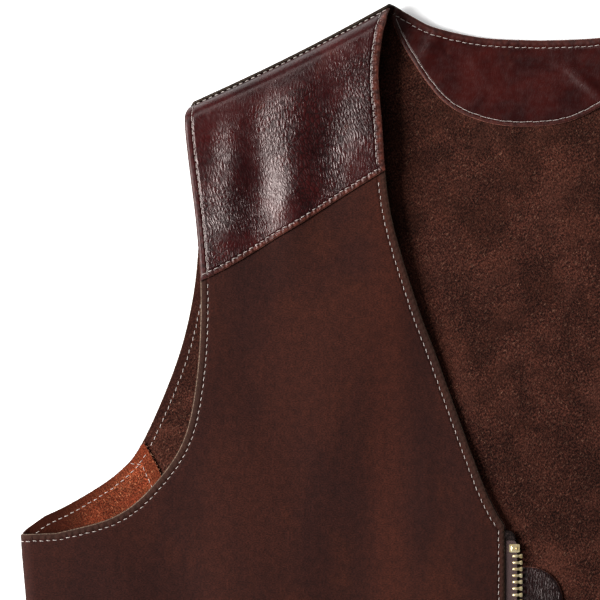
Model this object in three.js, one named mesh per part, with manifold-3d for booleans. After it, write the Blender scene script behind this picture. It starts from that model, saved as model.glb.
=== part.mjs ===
// A zip-front leather vest lying flat and unzipped on its back, at its real size.
//
// X runs across the vest, positive towards the wearer's left. Y runs up the back towards the neck.
// Z is up. The origin is on the underside of the back, at its centre, level with the underarm.
// "Right" and "left" in names are the wearer's.
//
// Each leather piece is first cut flat, as a slab on a grid trimmed to the pattern's outline, and is
// then laid over the vest's form: the back lies on the surface, the leather rolls over at the side
// folds and the shoulder ridges, and the fronts come back over it.
// Patterns are drawn for one half, with u the distance outward from the centre back.
import * as THREE from "three";
import { mergeVertices } from "three/addons/utils/BufferGeometryUtils.js";
import Module from "manifold-3d";

const wasm = await Module();
wasm.setup();

// Driving dimensions, in millimetres
const HIDE = 1.4; // thickness of the matt hide: fronts and back
const GRAINED = 1.2; // thickness of the glossy grained leather: yokes, sides, facing, zip guard
const TAPE = 1.0; // thickness of the zip tape
const GAP = 0.3; // clearance between pieces that are sewn together
const HEM = -345; // where the back ends
const FRONT_HEM = -350; // where the fronts end
const SIDE_ROLL = 5.5; // radius of the leather's middle where it rolls over at a side
const SIDE_REACH = 90; // how far in from a side fold the front is held up by the roll
const RIDGE_ROLL = { neck: 8.5, tip: 6.5 }; // the same radius over the shoulder, at its two ends
const RIDGE_REACH = 230; // how far down from the shoulder the front is held up by the roll
const FRONT_REST = 4.0; // height of the front's middle where it lies on the back
const ZIP_STACK = 2.0; // how much higher it lies over the zip tape and the guard
const NECK_LIFT = { height: 3.4, spread: 48 }; // the shoulder's neck end stands off the surface
const ZIP_EDGE = 20.3; // from the centre to the front's cut edge beside the zip
const ZIP_TOP = 4.6; // where the zip edge meets the slope of the V neck

// The shoulder ridge, as its two ends, drawn for the leather's middle
const NECK = { u: 84.1, y: 293.6 };
const TIP = { u: 194.7, y: 238.6 };
const RIDGE_BOW = -1.4; // the ridge's middle sags towards the hem by this
const ridgeLength = Math.hypot(TIP.u - NECK.u, TIP.y - NECK.y);
const ALONG = { u: (TIP.u - NECK.u) / ridgeLength, y: (TIP.y - NECK.y) / ridgeLength };
const ACROSS = { u: -ALONG.y, y: ALONG.u };

// The two sides. The wearer's left front is laid further open than the right one.
const RIGHT = { name: "right", sign: -1, spread: 0 };
const LEFT = { name: "left", sign: 1, spread: 26 };
const SPREAD_LENGTH = 150; // how far below the neck the front swings out to its full spread

// Outlines of the pieces, each a short table of points on a smooth curve
const SIDE_FOLD = [
  { y: 80, u: 288.6 },
  { y: 0, u: 288.3 },
  { y: -40, u: 285.3 },
  { y: -140, u: 281.0 },
  { y: -250, u: 279.4 },
  { y: -380, u: 281.5 },
];
const V_NECK = [
  { u: 20.3, y: 4.6 },
  { u: 31.8, y: 26.9 },
  { u: 57.4, y: 97.1 },
  { u: 69.6, y: 130.0 },
  { u: 83.9, y: 179.8 },
  { u: 88.9, y: 232.9 },
  { u: 90.4, y: 256.0 },
  { u: 88.4, y: 275.6 },
  { u: 86.1, y: 285.6 },
  { u: 86.8, y: 298.0 },
  { u: 88.0, y: 304.0 },
];
const FRONT_ARMHOLE = [
  { u: 199.0, y: 250.0 },
  { u: 197.6, y: 240.0 },
  { u: 197.7, y: 227.0 },
  { u: 195.9, y: 208.4 },
  { u: 191.1, y: 168.1 },
  { u: 188.9, y: 130.0 },
  { u: 191.1, y: 87.5 },
  { u: 198.5, y: 52.4 },
  { u: 215.6, y: 26.9 },
  { u: 236.8, y: 9.9 },
  { u: 268.7, y: 0.9 },
];
const BACK_ARMHOLE = [
  { u: 198.4, y: 250.0 },
  { u: 194.6, y: 228.0 },
  { u: 190.0, y: 190.0 },
  { u: 190.2, y: 165.0 },
  { u: 193.7, y: 130.9 },
  { u: 202.8, y: 94.9 },
  { u: 221.4, y: 51.3 },
  { u: 235.5, y: 33.7 },
  { u: 258.3, y: 18.6 },
  { u: 276.4, y: 9.6 },
];
const NECKLINE = [
  { u: 88.6, y: 302.0 },
  { u: 83.9, y: 295.6 },
  { u: 70.1, y: 286.6 },
  { u: 57.4, y: 280.9 },
  { u: 31.8, y: 275.7 },
  { u: 0, y: 274.3 },
];
const FACING_EDGE = [
  { x: -85.5, y: 292.5 },
  { x: -76.5, y: 271.1 },
  { x: -55.2, y: 241.4 },
  { x: -31.8, y: 229.2 },
  { x: -6.3, y: 226.5 },
  { x: 20.2, y: 230.8 },
  { x: 50.0, y: 249.0 },
  { x: 72.0, y: 272.0 },
  { x: 85.5, y: 292.5 },
];
const YOKE_SEAM = [
  { u: 215.0, y: 127.0 },
  { u: 189.7, y: 140.0 },
  { u: 172.8, y: 148.6 },
  { u: 133.9, y: 172.2 },
  { u: 86.1, y: 202.2 },
  { u: 60.0, y: 218.0 },
];
const BACK_SEAM = [
  { u: 228.0, y: 63.0 },
  { u: 211.6, y: 34.1 },
  { u: 201.0, y: 0.0 },
  { u: 195.5, y: -60.0 },
  { u: 194.0, y: -180.0 },
  { u: 197.0, y: -360.0 },
];
const YOKE_LAP = 10; // the front reaches this far under the yoke
const BACK_LAP = 14; // the back laps this far over the side panel
const RIDGE_LAP = 8; // the yoke reaches this far under the back's edge at the shoulder
const RIDGE_ROOM = 0.2; // more clearance there, where both roll over
const RIDGE_EDGE = { neck: 2.5, tip: 0.3 }; // the back's edge, past the ridge on the front
const SIDE_SEAM = 1.5; // the side seam, past the fold on the underside

// Broad troughs and ridges in the fronts and yokes: middle, direction, length, width and height
const FOLDS = [
  { u: 150, y: 206, turn: 8, long: 52, wide: 24, high: 1.3 },
  { u: 112, y: 222, turn: 24, long: 46, wide: 22, high: -0.9 },
  { u: 104, y: 96, turn: 6, long: 84, wide: 25, high: 1.2 },
  { u: 150, y: 84, turn: -4, long: 72, wide: 24, high: -1.0 },
  { u: 176, y: 18, turn: -16, long: 64, wide: 24, high: 1.5 },
  { u: 100, y: 4, turn: 9, long: 78, wide: 24, high: -1.1 },
  { u: 66, y: -70, turn: 3, long: 92, wide: 22, high: 1.3 },
  { u: 150, y: -110, turn: -6, long: 96, wide: 27, high: 1.8 },
  { u: 108, y: -190, turn: 8, long: 88, wide: 25, high: -1.3 },
  { u: 214, y: -70, turn: -18, long: 70, wide: 22, high: 1.2 },
  { u: 198, y: -236, turn: -10, long: 84, wide: 25, high: 1.6 },
  { u: 72, y: -272, turn: 5, long: 76, wide: 23, high: 1.3 },
];

// The zip: half of the chain on each front
const ZIP = {
  tape: { inner: 13.2, outer: 34.0, top: -2.6, bottom: -347 },
  stop: { inner: 11.9, outer: 17.7, top: -5.6, long: 4.6, thick: 2.6 },
  pin: { inner: 11.6, outer: 15.4, top: -326, bottom: -346, thick: 2.6 },
  box: { inner: 5.4, outer: 16.6, top: -337, bottom: -346.5, thick: 5.2 },
  slider: { inner: 4.6, outer: 17.4, top: -320, bottom: -336.6, thick: 5.6, plate: 1.1 },
};
const CROWN = { wide: 3.4, long: 11.0, rise: 2.8, thick: 0.9, sunk: 0.2 };
const PULL = { wide: 8.4, long: 31, thick: 1.5, slot: 4.6, slotLong: 8.6, bar: 1.5 };
const TEETH = { thick: 2.6, inner: 15.6 }; // room for the teeth, whose rows end this far out
const GUARD = { reach: 12.3, top: -18.3, corner: 19, under: 38, lip: 0.8, rise: 27 };

const lowerMiddle = HIDE / 2;
const hideOnGrained = (HIDE + GRAINED) / 2 + GAP;
const tapeLevel = -(HIDE / 2 + GAP + TAPE / 2);
const guardLevel = tapeLevel - TAPE / 2 - GAP - GRAINED / 2;

const clamp01 = (t) => Math.min(1, Math.max(0, t));
const lerp = (a, b, t) => a + (b - a) * t;
const smooth = (t) => clamp01(t) ** 2 * (3 - 2 * clamp01(t));
// 1 at t = 0, falling smoothly to 0 at t = 1
const falloff = (t) => 0.5 * (1 + Math.cos(Math.PI * clamp01(t)));

// Points about `step` apart on a smooth curve through a table of { u, y } or { x, y }
function along(table, step = 9) {
  const points = table.map((p) => new THREE.Vector2(p.u ?? p.x, p.y));
  const curve = new THREE.SplineCurve(points);
  return curve.getSpacedPoints(Math.max(2, Math.round(curve.getLength() / step)));
}

// A function that reads one column of a table against another, with smooth joins
function reader(table, from, to) {
  const rows = [...table].sort((a, b) => a[from] - b[from]);
  return (value) => {
    const last = rows.length - 1;
    const v = Math.min(rows[last][from], Math.max(rows[0][from], value));
    const i = Math.min(last - 1, rows.findLastIndex((r) => r[from] <= v));
    const slope = (a, b) => (rows[b][to] - rows[a][to]) / (rows[b][from] - rows[a][from]);
    const width = rows[i + 1][from] - rows[i][from];
    const t = (v - rows[i][from]) / width;
    const start = slope(Math.max(0, i - 1), i + 1) * width;
    const end = slope(i, Math.min(last, i + 2)) * width;
    return (
      (2 * t ** 3 - 3 * t ** 2 + 1) * rows[i][to] +
      (t ** 3 - 2 * t ** 2 + t) * start +
      (3 * t ** 2 - 2 * t ** 3) * rows[i + 1][to] +
      (t ** 3 - t ** 2) * end
    );
  };
}
const sideFold = reader(SIDE_FOLD, "y", "u");
const yokeSeam = reader(YOKE_SEAM, "u", "y");
const backSeam = reader(BACK_SEAM, "y", "u");

// How far outward a front has been swung at this height, and where the side fold then lies
const spreadAt = (side, y) => side.spread * (1 - Math.exp(-((Math.max(0, NECK.y - y) / SPREAD_LENGTH) ** 2)));
const foldAt = (side, y) => sideFold(y) + spreadAt(side, y) / 2;

// Place of a point against the shoulder ridge: its share of the ridge's length, and its distance past it
function ridgePlace(u, y) {
  const du = u - NECK.u;
  const dy = y - NECK.y;
  const share = clamp01((du * ALONG.u + dy * ALONG.y) / ridgeLength);
  const radius = lerp(RIDGE_ROLL.neck, RIDGE_ROLL.tip, share);
  const past = du * ACROSS.u + dy * ACROSS.y - RIDGE_BOW * Math.sin(Math.PI * share) + radius;
  return { share, radius, past };
}

function foldHeight(u, y) {
  return FOLDS.reduce((sum, f) => {
    const a = THREE.MathUtils.degToRad(f.turn);
    const across = (u - f.u) * Math.cos(a) + (y - f.y) * Math.sin(a);
    const lengthways = (y - f.y) * Math.cos(a) - (u - f.u) * Math.sin(a);
    return sum + f.high * Math.exp(-((across / f.wide) ** 2) - (lengthways / f.long) ** 2);
  }, 0);
}

// Height of the front's middle at a point that isn't on a roll
function frontHeight(side, u, y) {
  const opened = u - spreadAt(side, y);
  const stack = ZIP_STACK * falloff((opened - 30) / 50) * falloff((y - 25) / 50);
  const rest = FRONT_REST + stack;
  const { radius, past } = ridgePlace(u, y);
  const ridgeTop = lowerMiddle + 2 * radius;
  const underRidge = rest + (ridgeTop - rest) * falloff(-past / RIDGE_REACH);
  const inFromFold = foldAt(side, y) - SIDE_ROLL - u;
  const sideTop = lowerMiddle + 2 * SIDE_ROLL;
  const height = lerp(underRidge, sideTop, falloff(inFromFold / SIDE_REACH));
  const clearOfRolls = smooth(-past / 14) * smooth(inFromFold / 30) * smooth((opened - 42) / 26);
  return height + foldHeight(opened, y) * clearOfRolls;
}

const neckLift = (u, y) => NECK_LIFT.height * Math.exp(-(((u - NECK.u) ** 2 + (y - NECK.y) ** 2) / NECK_LIFT.spread ** 2));

// Middle of the upper leather, fronts and yokes, at a place on the pattern
function upper(side, u, y) {
  const ridge = ridgePlace(u, y);
  if (ridge.past > 0) {
    const turn = Math.min(Math.PI, ridge.past / ridge.radius);
    const onward = ridge.past - turn * ridge.radius;
    const moved = ridge.radius * Math.sin(turn) - onward - ridge.past;
    const top = { u: u + moved * ACROSS.u, y: y + moved * ACROSS.y };
    const z = lowerMiddle + ridge.radius * (1 + Math.cos(turn));
    return new THREE.Vector3(top.u, top.y, z + neckLift(top.u, top.y));
  }
  const start = foldAt(side, y) - SIDE_ROLL;
  const past = Math.max(0, u - start);
  const turn = Math.min(Math.PI, past / SIDE_ROLL);
  const onward = past - turn * SIDE_ROLL;
  const place = Math.min(u, start) + SIDE_ROLL * Math.sin(turn) - onward;
  const z = frontHeight(side, Math.min(u, start), y) - SIDE_ROLL * (1 - Math.cos(turn));
  return new THREE.Vector3(place, y, z + neckLift(place, y));
}

// Middle of the lower leather, back and side panels
function lower(side, u, y) {
  const ridge = ridgePlace(u, y);
  if (ridge.past > 0) {
    const turn = ridge.past / ridge.radius;
    const moved = ridge.radius * Math.sin(turn) - ridge.past;
    const top = { u: u + moved * ACROSS.u, y: y + moved * ACROSS.y };
    const z = lowerMiddle + ridge.radius * (1 - Math.cos(turn));
    return new THREE.Vector3(top.u, top.y, z + neckLift(top.u, top.y));
  }
  const start = foldAt(side, y) - SIDE_ROLL;
  const turn = Math.max(0, u - start) / SIDE_ROLL;
  const place = Math.min(u, start) + SIDE_ROLL * Math.sin(turn);
  const z = lowerMiddle + SIDE_ROLL * (1 - Math.cos(turn));
  return new THREE.Vector3(place, y, z + neckLift(place, y));
}

// A point at a distance outward from the leather's middle
function offset(form, side, u, y, out) {
  const d = 0.05;
  const middle = form(side, u, y);
  const du = form(side, u + d, y).sub(form(side, u - d, y));
  const dy = form(side, u, y + d).sub(form(side, u, y - d));
  const normal = du.cross(dy).normalize();
  return middle.addScaledVector(normal, form === lower ? -out : out);
}

// The slabs are dished by a hair, so that a cut keeps a corner at each grid line that it crosses
const dish = (x, y) => 1e-5 * (x * x + y * y);

// A closed slab on a grid of places, from -thick/2 to thick/2 about the dish
function slab(columns, rows, place, thick) {
  const across = columns.length;
  const up = rows.length;
  const positions = [];
  for (const z of [-thick / 2, thick / 2]) {
    for (const row of rows) {
      for (const column of columns) {
        const [x, y] = place(column, row);
        positions.push(x, y, z + dish(x, y));
      }
    }
  }
  const at = (layer, j, i) => layer * across * up + j * across + i;
  const index = [];
  const quad = (a, b, c, d) => index.push(a, b, c, a, c, d);
  for (let j = 0; j < up - 1; j++) {
    for (let i = 0; i < across - 1; i++) {
      quad(at(0, j, i), at(0, j + 1, i), at(0, j + 1, i + 1), at(0, j, i + 1));
      quad(at(1, j, i), at(1, j, i + 1), at(1, j + 1, i + 1), at(1, j + 1, i));
    }
  }
  for (let i = 0; i < across - 1; i++) {
    quad(at(0, 0, i), at(0, 0, i + 1), at(1, 0, i + 1), at(1, 0, i));
    quad(at(0, up - 1, i + 1), at(0, up - 1, i), at(1, up - 1, i), at(1, up - 1, i + 1));
  }
  for (let j = 0; j < up - 1; j++) {
    quad(at(0, j + 1, 0), at(0, j, 0), at(1, j, 0), at(1, j + 1, 0));
    quad(at(0, j, across - 1), at(0, j + 1, across - 1), at(1, j + 1, across - 1), at(1, j, across - 1));
  }
  return solid(new Float32Array(positions), new Uint32Array(index));
}

const solid = (vertProperties, triVerts) => new wasm.Manifold(new wasm.Mesh({ numProp: 3, vertProperties, triVerts }));

function solidOf(geometry) {
  const bare = geometry.clone().deleteAttribute("normal").deleteAttribute("uv");
  const merged = mergeVertices(bare, 1e-4);
  return solid(merged.attributes.position.array, new Uint32Array(merged.index.array));
}

function geometryOf(made) {
  const mesh = made.getMesh();
  const geometry = new THREE.BufferGeometry();
  geometry.setAttribute("position", new THREE.BufferAttribute(new Float32Array(mesh.vertProperties), 3));
  geometry.setIndex(new THREE.BufferAttribute(new Uint32Array(mesh.triVerts), 1));
  return geometry;
}

// The flat slab trimmed to the outline, then each corner laid on the form
function cutAndLay(flatSlab, outline, lay) {
  const shape = new THREE.Shape(outline);
  const punch = new THREE.ExtrudeGeometry(shape, { depth: 16, bevelEnabled: false });
  const cut = flatSlab.intersect(solidOf(punch.translate(0, 0, -6)));
  const geometry = geometryOf(cut);
  const place = geometry.attributes.position;
  for (let i = 0; i < place.count; i++) {
    const [x, y] = [place.getX(i), place.getY(i)];
    const p = lay(x, y, place.getZ(i) - dish(x, y));
    place.setXYZ(i, p.x, p.y, p.z);
  }
  return faceOut(geometry);
}

// Turns the faces round if laying the piece has left them pointing in
function faceOut(geometry) {
  const place = geometry.attributes.position;
  const index = geometry.index.array;
  const corner = (k) => new THREE.Vector3().fromBufferAttribute(place, index[k]);
  let volume = 0;
  for (let k = 0; k < index.length; k += 3) {
    volume += corner(k).dot(corner(k + 1).cross(corner(k + 2)));
  }
  if (volume < 0) {
    for (let k = 0; k < index.length; k += 3) [index[k + 1], index[k + 2]] = [index[k + 2], index[k + 1]];
  }
  return geometry;
}

// A piece of one half: laid on a form at a level, and mirrored to its side
function halfPiece(side, form, flatSlab, outline, level = () => 0) {
  return cutAndLay(flatSlab, outline, (u, y, z) => {
    const p = offset(form, side, u, y, level(u, y) + z);
    p.x *= side.sign;
    return p;
  });
}

// A piece that crosses the centre, laid on the lower form at a level
function wholePiece(flatSlab, outline, level) {
  const sideOf = (x) => (x < 0 ? RIGHT : LEFT);
  return cutAndLay(flatSlab, outline, (x, y, z) => {
    const p = offset(lower, sideOf(x), Math.abs(x), y, level + z);
    p.x *= sideOf(x).sign;
    return p;
  });
}

// Numbers from `a` to `b`, about `step` apart
function spaced(a, b, step) {
  const count = Math.max(1, Math.round(Math.abs(b - a) / step));
  return Array.from({ length: count + 1 }, (_, i) => lerp(a, b, i / count));
}

// Grid lines that run along the shoulder ridge, close together where the leather rolls
const ridgeRows = spaced(-8.5, 18, 2.9);
const onRidgeGrid = (u, row) => [u, NECK.y + (row - (Math.abs(u) - NECK.u) * ACROSS.u) / ACROSS.y];

// Grid lines that run down the side fold, close together where the leather rolls: those from 0 to 1
// divide the leather between an inner line and the roll, and the others lie beside them in millimetres
const onSideGrid = (side, inner) => (column, y) => {
  const start = foldAt(side, y) - SIDE_ROLL;
  if (column < 0) return [inner(y) + column, y];
  return [column <= 1 ? lerp(inner(y), start, column) : start + column - 1, y];
};
const SIDE_ROWS = spaced(HEM - 15, 65, 25);
const SEAM_ROWS = [HEM, ...spaced(HEM + 10, -10, 12.5), 0];

// How far past the start of its roll each piece reaches, measured over the leather
const halfTurn = (radius) => (Math.PI / 2) * radius;
const frontPastFold = (side, y) => halfTurn(SIDE_ROLL) + SIDE_SEAM - GAP / 2 + spreadAt(side, y) / 2;
const panelPastFold = (side, y) => halfTurn(SIDE_ROLL) - SIDE_SEAM - GAP / 2 - spreadAt(side, y) / 2;

const point = (u, y) => new THREE.Vector2(u, y);
const shifted = (side, points) => points.map((p) => point(p.x + spreadAt(side, p.y), p.y));
// The part of a curve between two heights, kept in its own order
const between = (points, low, high) => points.filter((p) => p.y > low && p.y < high);

function ridgeEnd(share, past) {
  const radius = lerp(RIDGE_ROLL.neck, RIDGE_ROLL.tip, share);
  const out = RIDGE_BOW * Math.sin(Math.PI * share) - radius + past(radius, share);
  const length = share * ridgeLength;
  return point(NECK.u + ALONG.u * length + ACROSS.u * out, NECK.y + ALONG.y * length + ACROSS.y * out);
}

const backEdge = (share) => lerp(RIDGE_EDGE.neck, RIDGE_EDGE.tip, share);
const backRidge = (radius, share) => halfTurn(radius) + backEdge(share);
const yokeRidge = (radius, share) => halfTurn(radius) - backEdge(share) + RIDGE_LAP;

function front(side) {
  const rows = [...SIDE_ROWS, ...spaced(65, 219, 19).slice(1)];
  const columns = [-33, -24, -14, ...spaced(0, 1, 1 / 12), ...spaced(1, 11.5 + side.spread / 2, 2.7).slice(1)];
  const flatSlab = slab(columns, rows, onSideGrid(side, () => 46), HIDE);
  const fold = [FRONT_HEM, ...SEAM_ROWS].map((y) => point(foldAt(side, y) - SIDE_ROLL + frontPastFold(side, y), y));
  const topEdge = (u) => yokeSeam(u) + YOKE_LAP / ACROSS.y;
  const armhole = shifted(side, between(along(FRONT_ARMHOLE), 0, topEdge(190))).reverse();
  const vNeck = shifted(side, between(along(V_NECK), ZIP_TOP - 1, topEdge(87)));
  const topLine = spaced(armhole.at(-1).x - 4, vNeck.at(-1).x + 3, 12).map((u) => {
    const cut = u - spreadAt(side, topEdge(u));
    return point(u, topEdge(cut));
  });
  const zipEdge = spaced(FRONT_HEM, ZIP_TOP - 12, 40).map((y) => point(ZIP_EDGE + spreadAt(side, y), y));
  return halfPiece(side, upper, flatSlab, [...fold, ...armhole, ...topLine, ...vNeck.reverse(), ...zipEdge.reverse()]);
}

function yoke(side) {
  const rows = [...spaced(-104, -20, 14), ...ridgeRows];
  const flatSlab = slab(spaced(70, 226, 14), rows, onRidgeGrid, GRAINED);
  const seam = spaced(189.4, 86.4, 9).map((u) => point(u, yokeSeam(u)));
  const armhole = along(FRONT_ARMHOLE).filter((p) => p.y > yokeSeam(189) + 3 && p.y < 246);
  const vNeck = along(V_NECK).filter((p) => p.y > yokeSeam(86) + 3 && p.y < 297);
  const ridge = spaced(0.02, 0.985, 0.11).map((share) => ridgeEnd(share, yokeRidge));
  const outline = shifted(side, [...seam, ...vNeck, ...ridge, ...armhole]);
  const level = (u, y) => {
    const opened = u - spreadAt(side, y);
    const up = (y - yokeSeam(opened)) * ACROSS.y;
    const { radius, share, past } = ridgePlace(u, y);
    const toEdge = halfTurn(radius) - backEdge(share) - past;
    const overFront = hideOnGrained * (1 - smooth((up - YOKE_LAP - 3) / 20));
    return overFront - (hideOnGrained + RIDGE_ROOM) * (1 - smooth((toEdge - 1) / 8));
  };
  return halfPiece(side, upper, flatSlab, outline, level);
}

function sidePanel(side) {
  const lapped = BACK_LAP + 3;
  const columns = [-20, -9, 0, 0.1, 0.2, 0.5, ...spaced(1, 9, 2.5)];
  const flatSlab = slab(columns, SIDE_ROWS, onSideGrid(side, (y) => backSeam(y) + lapped), GRAINED);
  const fold = SEAM_ROWS.map((y) => point(foldAt(side, y) - SIDE_ROLL + panelPastFold(side, y), y));
  const armhole = along(BACK_ARMHOLE).filter((p) => p.y < 50 && p.x < fold.at(-1).x - 3).reverse();
  const seam = spaced(50.5, HEM, 16).map((y) => point(backSeam(y), y));
  const level = (u, y) => -hideOnGrained * (1 - smooth((u - backSeam(y) - lapped) / 13));
  return halfPiece(side, lower, flatSlab, [...fold, ...armhole, ...seam], level);
}

// The back is one piece, drawn for both halves. Its edge laps over the yokes at the shoulders.
function back() {
  const rows = [...spaced(-620, -80, 90), -42, -20, ...ridgeRows];
  const columns = [...spaced(-246, -84, 20), ...spaced(-84, 84, 17).slice(1), ...spaced(84, 246, 20).slice(1)];
  const flatSlab = slab(columns, rows, onRidgeGrid, HIDE);
  const seam = spaced(HEM, 30, 20).map((y) => point(backSeam(y) + BACK_LAP, y));
  const armhole = along(BACK_ARMHOLE).filter((p) => p.y > 36 && p.y < 238).reverse();
  const ridge = spaced(0.985, 0.02, 0.11).map((share) => ridgeEnd(share, backRidge));
  const neckline = along(NECKLINE).slice(1);
  const half = [...seam, ...armhole, ...ridge, ...neckline];
  const mirrored = half.slice(0, -1).reverse().map((p) => point(-p.x, p.y));
  return wholePiece(flatSlab, [...half, ...mirrored], 0);
}

// The crescent sewn inside the back neck
function neckFacing() {
  const rows = [-112, -80, -52, -32, -18, ...ridgeRows];
  const flatSlab = slab(spaced(-96, 96, 13), rows, onRidgeGrid, GRAINED);
  const neck = along(NECKLINE, 8).filter((p) => p.x < 83);
  const right = neck.map((p) => point(-p.x, p.y));
  const left = neck.slice(0, -1).reverse();
  const lowerEdge = along(FACING_EDGE, 8).slice(1, -1).reverse();
  return wholePiece(flatSlab, [...right, ...left, ...lowerEdge], -hideOnGrained);
}

// A straight strip beside the zip, under the front
function strip(side, thick, level, outline, columns, rise = () => 0) {
  const rows = SIDE_ROWS.filter((y) => y < 45);
  const flatSlab = slab(columns, rows, (u, y) => [u + spreadAt(side, y), y], thick);
  return halfPiece(side, upper, flatSlab, shifted(side, outline), (u) => level - rise(u));
}

function zipTape(side) {
  const { inner, outer, top, bottom } = ZIP.tape;
  const corners = [point(outer, bottom), point(outer, top), point(inner + 2.2, top), point(inner, top - 3)];
  return strip(side, TAPE, tapeLevel, [...corners, point(inner, bottom)], spaced(6, 42, 9));
}

// The zip guard: under the right front, and out past the teeth with a rounded top corner
function zipGuard() {
  const { reach, top, corner, under } = GUARD;
  const centre = point(-reach + corner, top - corner);
  const round = spaced(180, 90, 15).map((deg) => {
    const a = THREE.MathUtils.degToRad(deg);
    return point(centre.x + corner * Math.cos(a), centre.y + corner * Math.sin(a));
  });
  const outline = [point(-reach, FRONT_HEM + 2), ...round, point(ZIP_EDGE - 1.6, top), ...hiddenTop(under)];
  const underTeeth = (u) => ((TEETH.thick - TAPE) / 2) * smooth((25 - u) / 7);
  return strip(RIGHT, GRAINED, guardLevel, outline, [-20, -10, 0, 9, 18, 21, 25, 34, 44], underTeeth);
}

// The part of a strip that runs up under the V neck, a little proud of its edge
function hiddenTop(under) {
  const edge = along(V_NECK, 6).filter((p) => p.y < GUARD.rise);
  return [
    ...edge.map((p) => point(p.x - GUARD.lip, p.y)),
    point(under + 6, GUARD.rise + 2),
    point(under, FRONT_HEM + 2),
  ];
}

function zipFacing() {
  const { under } = GUARD;
  const outline = [point(ZIP_EDGE + 1.2, FRONT_HEM + 2), ...hiddenTop(under)];
  return strip(LEFT, GRAINED, guardLevel, outline, spaced(12, 48, 9));
}

// Metal pieces of the zip, placed on the tape's middle
function onTape(side, part) {
  const middle = (part.inner + part.outer) / 2;
  const y = (part.top + (part.bottom ?? part.top - part.long)) / 2;
  const u = middle + spreadAt(side, y);
  const seat = offset(upper, side, ZIP.tape.inner + spreadAt(side, y), y, tapeLevel);
  return new THREE.Vector3(u * side.sign, y, seat.z);
}

function block(wide, long, high, corner = 0.8) {
  const shape = new THREE.Shape();
  const x = wide / 2 - corner;
  const y = long / 2 - corner;
  shape.absarc(x, y, corner, 0, Math.PI / 2);
  shape.absarc(-x, y, corner, Math.PI / 2, Math.PI);
  shape.absarc(-x, -y, corner, Math.PI, 1.5 * Math.PI);
  shape.absarc(x, -y, corner, 1.5 * Math.PI, 2 * Math.PI);
  const made = new THREE.ExtrudeGeometry(shape, { depth: high, bevelEnabled: false, curveSegments: 3 });
  return made.translate(0, 0, -high / 2);
}

// A stop, pin or box: a block with a slit that the tape runs into
function tapeFitting(side, part) {
  const long = part.long ?? part.top - part.bottom;
  const wide = part.outer - part.inner;
  const body = solidOf(block(wide, long, part.thick));
  const tapeEdge = (part.inner + part.outer) / 2 - (ZIP.tape.inner - GAP);
  const slit = new THREE.BoxGeometry(wide, long + 2, TAPE + 2 * GAP);
  slit.translate(side.sign * (wide / 2 - tapeEdge), 0, 0);
  return geometryOf(body.subtract(solidOf(slit)));
}

// The slider's two plates, joined by its nose, with the crown that holds the pull
function sliderBody() {
  const { inner, outer, top, bottom, thick, plate } = ZIP.slider;
  const wide = outer - inner;
  const long = top - bottom;
  const body = solidOf(block(wide, long, thick, 2.2));
  const channel = new THREE.BoxGeometry(wide + 2, long + 2, thick - 2 * plate);
  const nose = solidOf(block(2.2, 5, thick - 2 * plate + 0.4, 0.6).translate(0, long / 2 - 3.2, 0));
  const crownOuter = block(CROWN.wide, CROWN.long, CROWN.rise + CROWN.thick, 0.6);
  const crownInner = new THREE.BoxGeometry(CROWN.wide + 1, CROWN.long - 2 * CROWN.thick, CROWN.rise + 1);
  const crownHeight = CROWN.rise + CROWN.thick;
  const lift = thick / 2 + crownHeight / 2 - CROWN.sunk;
  crownInner.translate(0, 0, (crownHeight - 2 * CROWN.thick - CROWN.rise - 1) / 2);
  const crown = solidOf(crownOuter).subtract(solidOf(crownInner));
  return geometryOf(
    body.subtract(solidOf(channel)).add(nose).add(crown.translate([0, 0, lift])),
  );
}

// The pull tab, with the bar at its head that turns under the slider's crown
function pullTab() {
  const { wide, long, thick, slot, slotLong, bar } = PULL;
  const tab = solidOf(block(wide, long, thick, 2.6));
  const hole = solidOf(block(slot, slotLong, thick + 2, 0.8).translate(0, long / 2 - bar - slotLong / 2, 0));
  const grip = solidOf(block(wide - 4, long - slotLong - bar - 9, thick, 1.4).translate(0, -long / 2 + 10, thick - 0.35));
  return geometryOf(tab.subtract(hole).subtract(grip));
}

const group = new THREE.Group();

// The photograph's colours, as named finishes
const FINISH = {
  hide: { color: 0x38201a, roughness: 0.85, metalness: 0 },
  grained: { color: 0x47201d, roughness: 0.35, metalness: 0 },
  tape: { color: 0x3c2c2c, roughness: 0.9, metalness: 0 },
  brass: { color: 0xb59a63, roughness: 0.35, metalness: 1 },
};

function add(name, geometry, finish, position) {
  const mesh = new THREE.Mesh(geometry, new THREE.MeshStandardMaterial(FINISH[finish]));
  mesh.name = name;
  if (position) mesh.position.copy(position);
  group.add(mesh);
  return mesh;
}

add("back", back(), "hide");
add("neck_facing", neckFacing(), "grained");
for (const side of [RIGHT, LEFT]) {
  add(`side_${side.name}`, sidePanel(side), "grained");
  add(`front_${side.name}`, front(side), "hide");
  add(`yoke_${side.name}`, yoke(side), "grained");
  add(`zip_tape_${side.name}`, zipTape(side), "tape");
  add(`zip_stop_${side.name}`, tapeFitting(side, ZIP.stop), "brass", onTape(side, ZIP.stop));
}
add("zip_guard_right", zipGuard(), "grained");
add("zip_facing_left", zipFacing(), "grained");
add("zip_pin_right", tapeFitting(RIGHT, ZIP.pin), "brass", onTape(RIGHT, ZIP.pin));
add("zip_box_left", tapeFitting(LEFT, ZIP.box), "brass", onTape(LEFT, ZIP.box));

const sliderPlace = onTape(LEFT, ZIP.slider);
add("zip_slider", sliderBody(), "brass", sliderPlace);
const pivotHeight = ZIP.slider.thick / 2 + (CROWN.rise - CROWN.sunk) / 2;
const pullPlace = sliderPlace.clone().add(new THREE.Vector3(0, -PULL.long / 2 + PULL.bar / 2, pivotHeight));
add("zip_pull", pullTab(), "brass", pullPlace);

export default group;
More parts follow.
